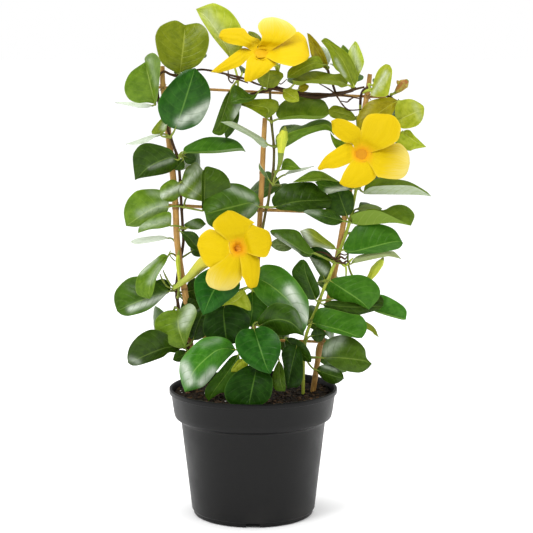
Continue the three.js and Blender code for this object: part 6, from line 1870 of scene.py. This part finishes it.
def funnel(piece, flower, faces):
    """A flower's tube: round outside, and open inside from its mouth to its base, painted darker there as
    shade.
    """
    path = placed_path(flower["tube"], 5)
    points = path[:, :3]
    along, across, _ = path_frames(points)
    part = np.linspace(0, 1, len(points))
    turned = smooth_step(part, 0.45, 1.0)
    angle = around(30)
    lobes = 1 + 0.07 * np.cos(5 * angle)
    outer = []
    inner = []
    for index, point in enumerate(points):
        direction = unit(along[index] * (1 - turned[index]) + faces * turned[index])
        first = square_to(across[index], direction)
        second = np.cross(direction, first)
        shape = 1 + (lobes - 1) * part[index]
        round_off = np.cos(angle)[:, None] * first + np.sin(angle)[:, None] * second
        outer.append(point + round_off * (path[index, 3] * shape)[:, None])
        inner.append(point + round_off * (max(path[index, 3] - 0.55, 0.4) * shape)[:, None])
    inside = len(points) - len(points) // 4
    rings = np.array(outer + inner[::-1][:inside])
    tone = np.concatenate([part, 1 - part[::-1][:inside]])
    travelled = travelled_along(points)
    lengths = np.concatenate([travelled, travelled[::-1][:inside]])[:, None]
    radii = np.concatenate([path[:, 3], path[::-1, 3][:inside]])[:, None]
    unrolled = np.broadcast_arrays(np.cos(angle) * radii, np.sin(angle) * radii, lengths)
    marks = np.stack(unrolled, axis=-1)
    materials = np.array([1] * (len(points) - 1) + [2] * inside)
    piece.shell(rings, marks, materials, tone)


def anther_cone(piece, throat, faces, radius, kind):
    """The ring of anthers that nearly closes the throat."""
    path = np.array([[*(throat - faces * depth), radius * part] for depth, part in kind["anthers"]])

    def lobed(_, angle):
        return 1 + kind["lobes"] * np.cos(5 * angle)

    piece.tube(path, 20, 2, kind["tone"], lobed)


def make_flowers():
    rng = np.random.default_rng(23)
    for flower in FLOWERS:
        throat = place(flower["tube"][-1])
        faces = unit(flower["faces"])
        kind = THROATS[flower["throat"]]
        petal_skin, throat_skin = kind["skins"]
        piece = Piece(flower["name"] + "_petals", [petal_skin, FLOWER_TUBE, throat_skin])
        funnel(piece, flower, faces)
        anther_cone(piece, throat, faces, flower["tube"][-1][3], kind)
        for index, shape in enumerate(flower["petals"]):
            placed = {**shape, "mouth": flower["tube"][-1][:2]}
            petal_blade(piece, throat, faces, placed, index * 0.19 + shape["pale"], rng)
        settle(piece.build(60), "petal", flower["name"])
        make_flower_stalk(flower)


def stalk_from_hub(piece, entry, rows):
    """Adds the knob on the stem, and gives the path of the stalk that leaves it."""
    centre = hub_centre(entry)
    hub(piece, centre, 0)
    return np.vstack([[*centre, HUB_STALK_RADIUS], placed_path(rows, 8)])


def make_flower_stalk(flower):
    """The stalk of a flower, with its calyx and five narrow sepals."""
    piece = Piece(flower["stalk"] + "_calyx", [LIME_STALK])
    path = stalk_from_hub(piece, flower, flower["stalk_path"])
    piece.tube(path, 12)
    end = path[-1]
    direction = unit(end[:3] - path[-4][:3])
    first = square_to(np.array([1.0, 0, 0.2]), direction)
    second = np.cross(direction, first)
    for turn in around(5):
        away = first * math.cos(turn) + second * math.sin(turn)
        sepal = []
        for t, radius in ((-0.3, 0.7), (0.2, 0.9), (0.6, 0.7), (1.0, 0.12)):
            point = end[:3] + direction * (t * 4.6) + away * (end[3] * 0.8 + 1.3 * max(t, 0))
            sepal.append([*point, radius])
        piece.tube(smooth_path(sepal, 4), 8)
    settle(piece.build(60), "green_stalk", flower["stalk"])


# Buds

def twisted(travelled, angle):
    """The five twisted pleats of a closed bud."""
    return 1 + 0.09 * np.cos(5 * angle + travelled * 0.2) * np.minimum(1, travelled / 12)


def small_bud(piece, centre, direction):
    """A small closed bud on a short stalk."""
    path = []
    for t, size in ((0, 0.35), (0.3, 0.55), (0.55, 1.0), (0.8, 0.75), (1.0, 0.12)):
        path.append([*(centre + direction * SMALL_BUD_LENGTH * t), SMALL_BUD_RADIUS * size])
    path = smooth_path(path, 5)
    steps = len(path) - 1
    piece.tube(path, 12, (np.arange(steps) >= steps * 0.35).astype(int), ridges=twisted)


def make_buds():
    for bud in BUDS:
        cluster = bud["name"] == "bud_cluster_top"
        piece = Piece(bud["name"] + "_pleats", [GREEN_STALK, BUD_TIPS if cluster else BUD_SKIN])
        path = stalk_from_hub(piece, bud, bud["path"])
        piece.tube(path, 20, (path[:-1, 3] > bud["skin_from"]).astype(int), ridges=twisted)
        if cluster:
            head = place(CLUSTER_HEAD)
            for turn in range(SMALL_BUDS):
                lean = turn * 2.4
                direction = unit([0.75 * math.cos(lean) + 0.3, 0.75 * math.sin(lean), 0.8])
                small_bud(piece, head + direction * 1.5, direction)
        settle(piece.build(60), "green_stalk", bud["name"])


make_pot()
make_soil()
make_canes()
make_rungs()
make_stems()
make_leaves()
make_flowers()
make_buds()


# Studio, in metres

FLOOR_REACH = 60.0
FLOOR_GAP = 0.0004
LIGHTS_AIM = Vector((0, 0, 0.27))


def make_floor():
    mesh = bpy.data.meshes.new("floor")
    corners = [(x * FLOOR_REACH, y * FLOOR_REACH, 0) for x, y in ((-1, -1), (1, -1), (1, 1), (-1, 1))]
    mesh.from_pydata(corners, [], [(0, 1, 2, 3)])
    board = Surface("Studio floor", Specular_IOR_Level=0.1, Roughness=0.9)
    soft = board.spread(board.grains(board.where(), 0.7, 2.0), 0.3, 0.7)
    board.feed(board.shader.inputs["Base Color"], board.blend(soft, (250, 250, 250), (252, 252, 252)))
    mesh.materials.append(board.material)
    floor = bpy.data.objects.new("floor", mesh)
    floor.location.z = -FLOOR_GAP
    bpy.context.scene.collection.objects.link(floor)


def area_light(name, spot, size, power):
    light = bpy.data.lights.new(name, "AREA")
    light.shape = "DISK"
    light.size = size
    light.energy = power
    lamp = bpy.data.objects.new(name, light)
    lamp.location = spot
    lamp.rotation_euler = (LIGHTS_AIM - Vector(spot)).to_track_quat("-Z", "Y").to_euler()
    bpy.context.scene.collection.objects.link(lamp)
    return lamp


def make_world():
    """White studio walls: bright overhead, dimmer at eye level for anything glossy."""
    world = bpy.data.worlds.new("studio white")
    bpy.context.scene.world = world
    world.use_nodes = True
    board = Board(world.node_tree)
    background = world.node_tree.nodes["Background"]
    background.inputs["Color"].default_value = (1, 1, 1, 1)
    light_path = board.node("ShaderNodeLightPath").outputs
    aim = board.node("ShaderNodeTexCoord").outputs["Generated"]
    parts = board.split(aim)
    soft = board.spread(parts["Z"], -0.1, 1.0, 0.5, 1.4)
    glossy = board.spread(parts["Y"], -0.4, 0.9, 0.1, 0.5)
    strength = board.plus(soft, board.times(light_path["Is Glossy Ray"], board.minus(glossy, soft)))
    seen = board.times(light_path["Is Camera Ray"], board.minus(1.0, strength))
    board.feed(background.inputs["Strength"], board.plus(strength, seen))


def make_studio():
    make_floor()
    make_world()
    area_light("key", (-1.0, -1.3, 1.9), 0.9, 20)
    area_light("fill", (1.6, -1.6, 1.3), 0.8, 6)
    area_light("top", (0.1, 0.2, 2.0), 1.1, 12).visible_glossy = False
    area_light("left edge", (-1.9, 0.7, 0.9), 1.1, 7)
    area_light("right edge", (1.9, 0.7, 0.9), 1.1, 7)
    bpy.context.scene.view_settings.view_transform = "Standard"


def make_camera():
    lens = bpy.data.cameras.new("camera")
    lens.sensor_width = SENSOR
    lens.lens = CAMERA["focal"] / (2 * CAMERA["centre"]) * SENSOR
    camera = bpy.data.objects.new("camera", lens)
    camera.location = EYE * METRES
    camera.rotation_euler = (math.radians(90 - CAMERA["pitch"]), 0, 0)
    bpy.context.scene.collection.objects.link(camera)
    bpy.context.scene.camera = camera


make_studio()
make_camera()

bpy.context.view_layer.update()
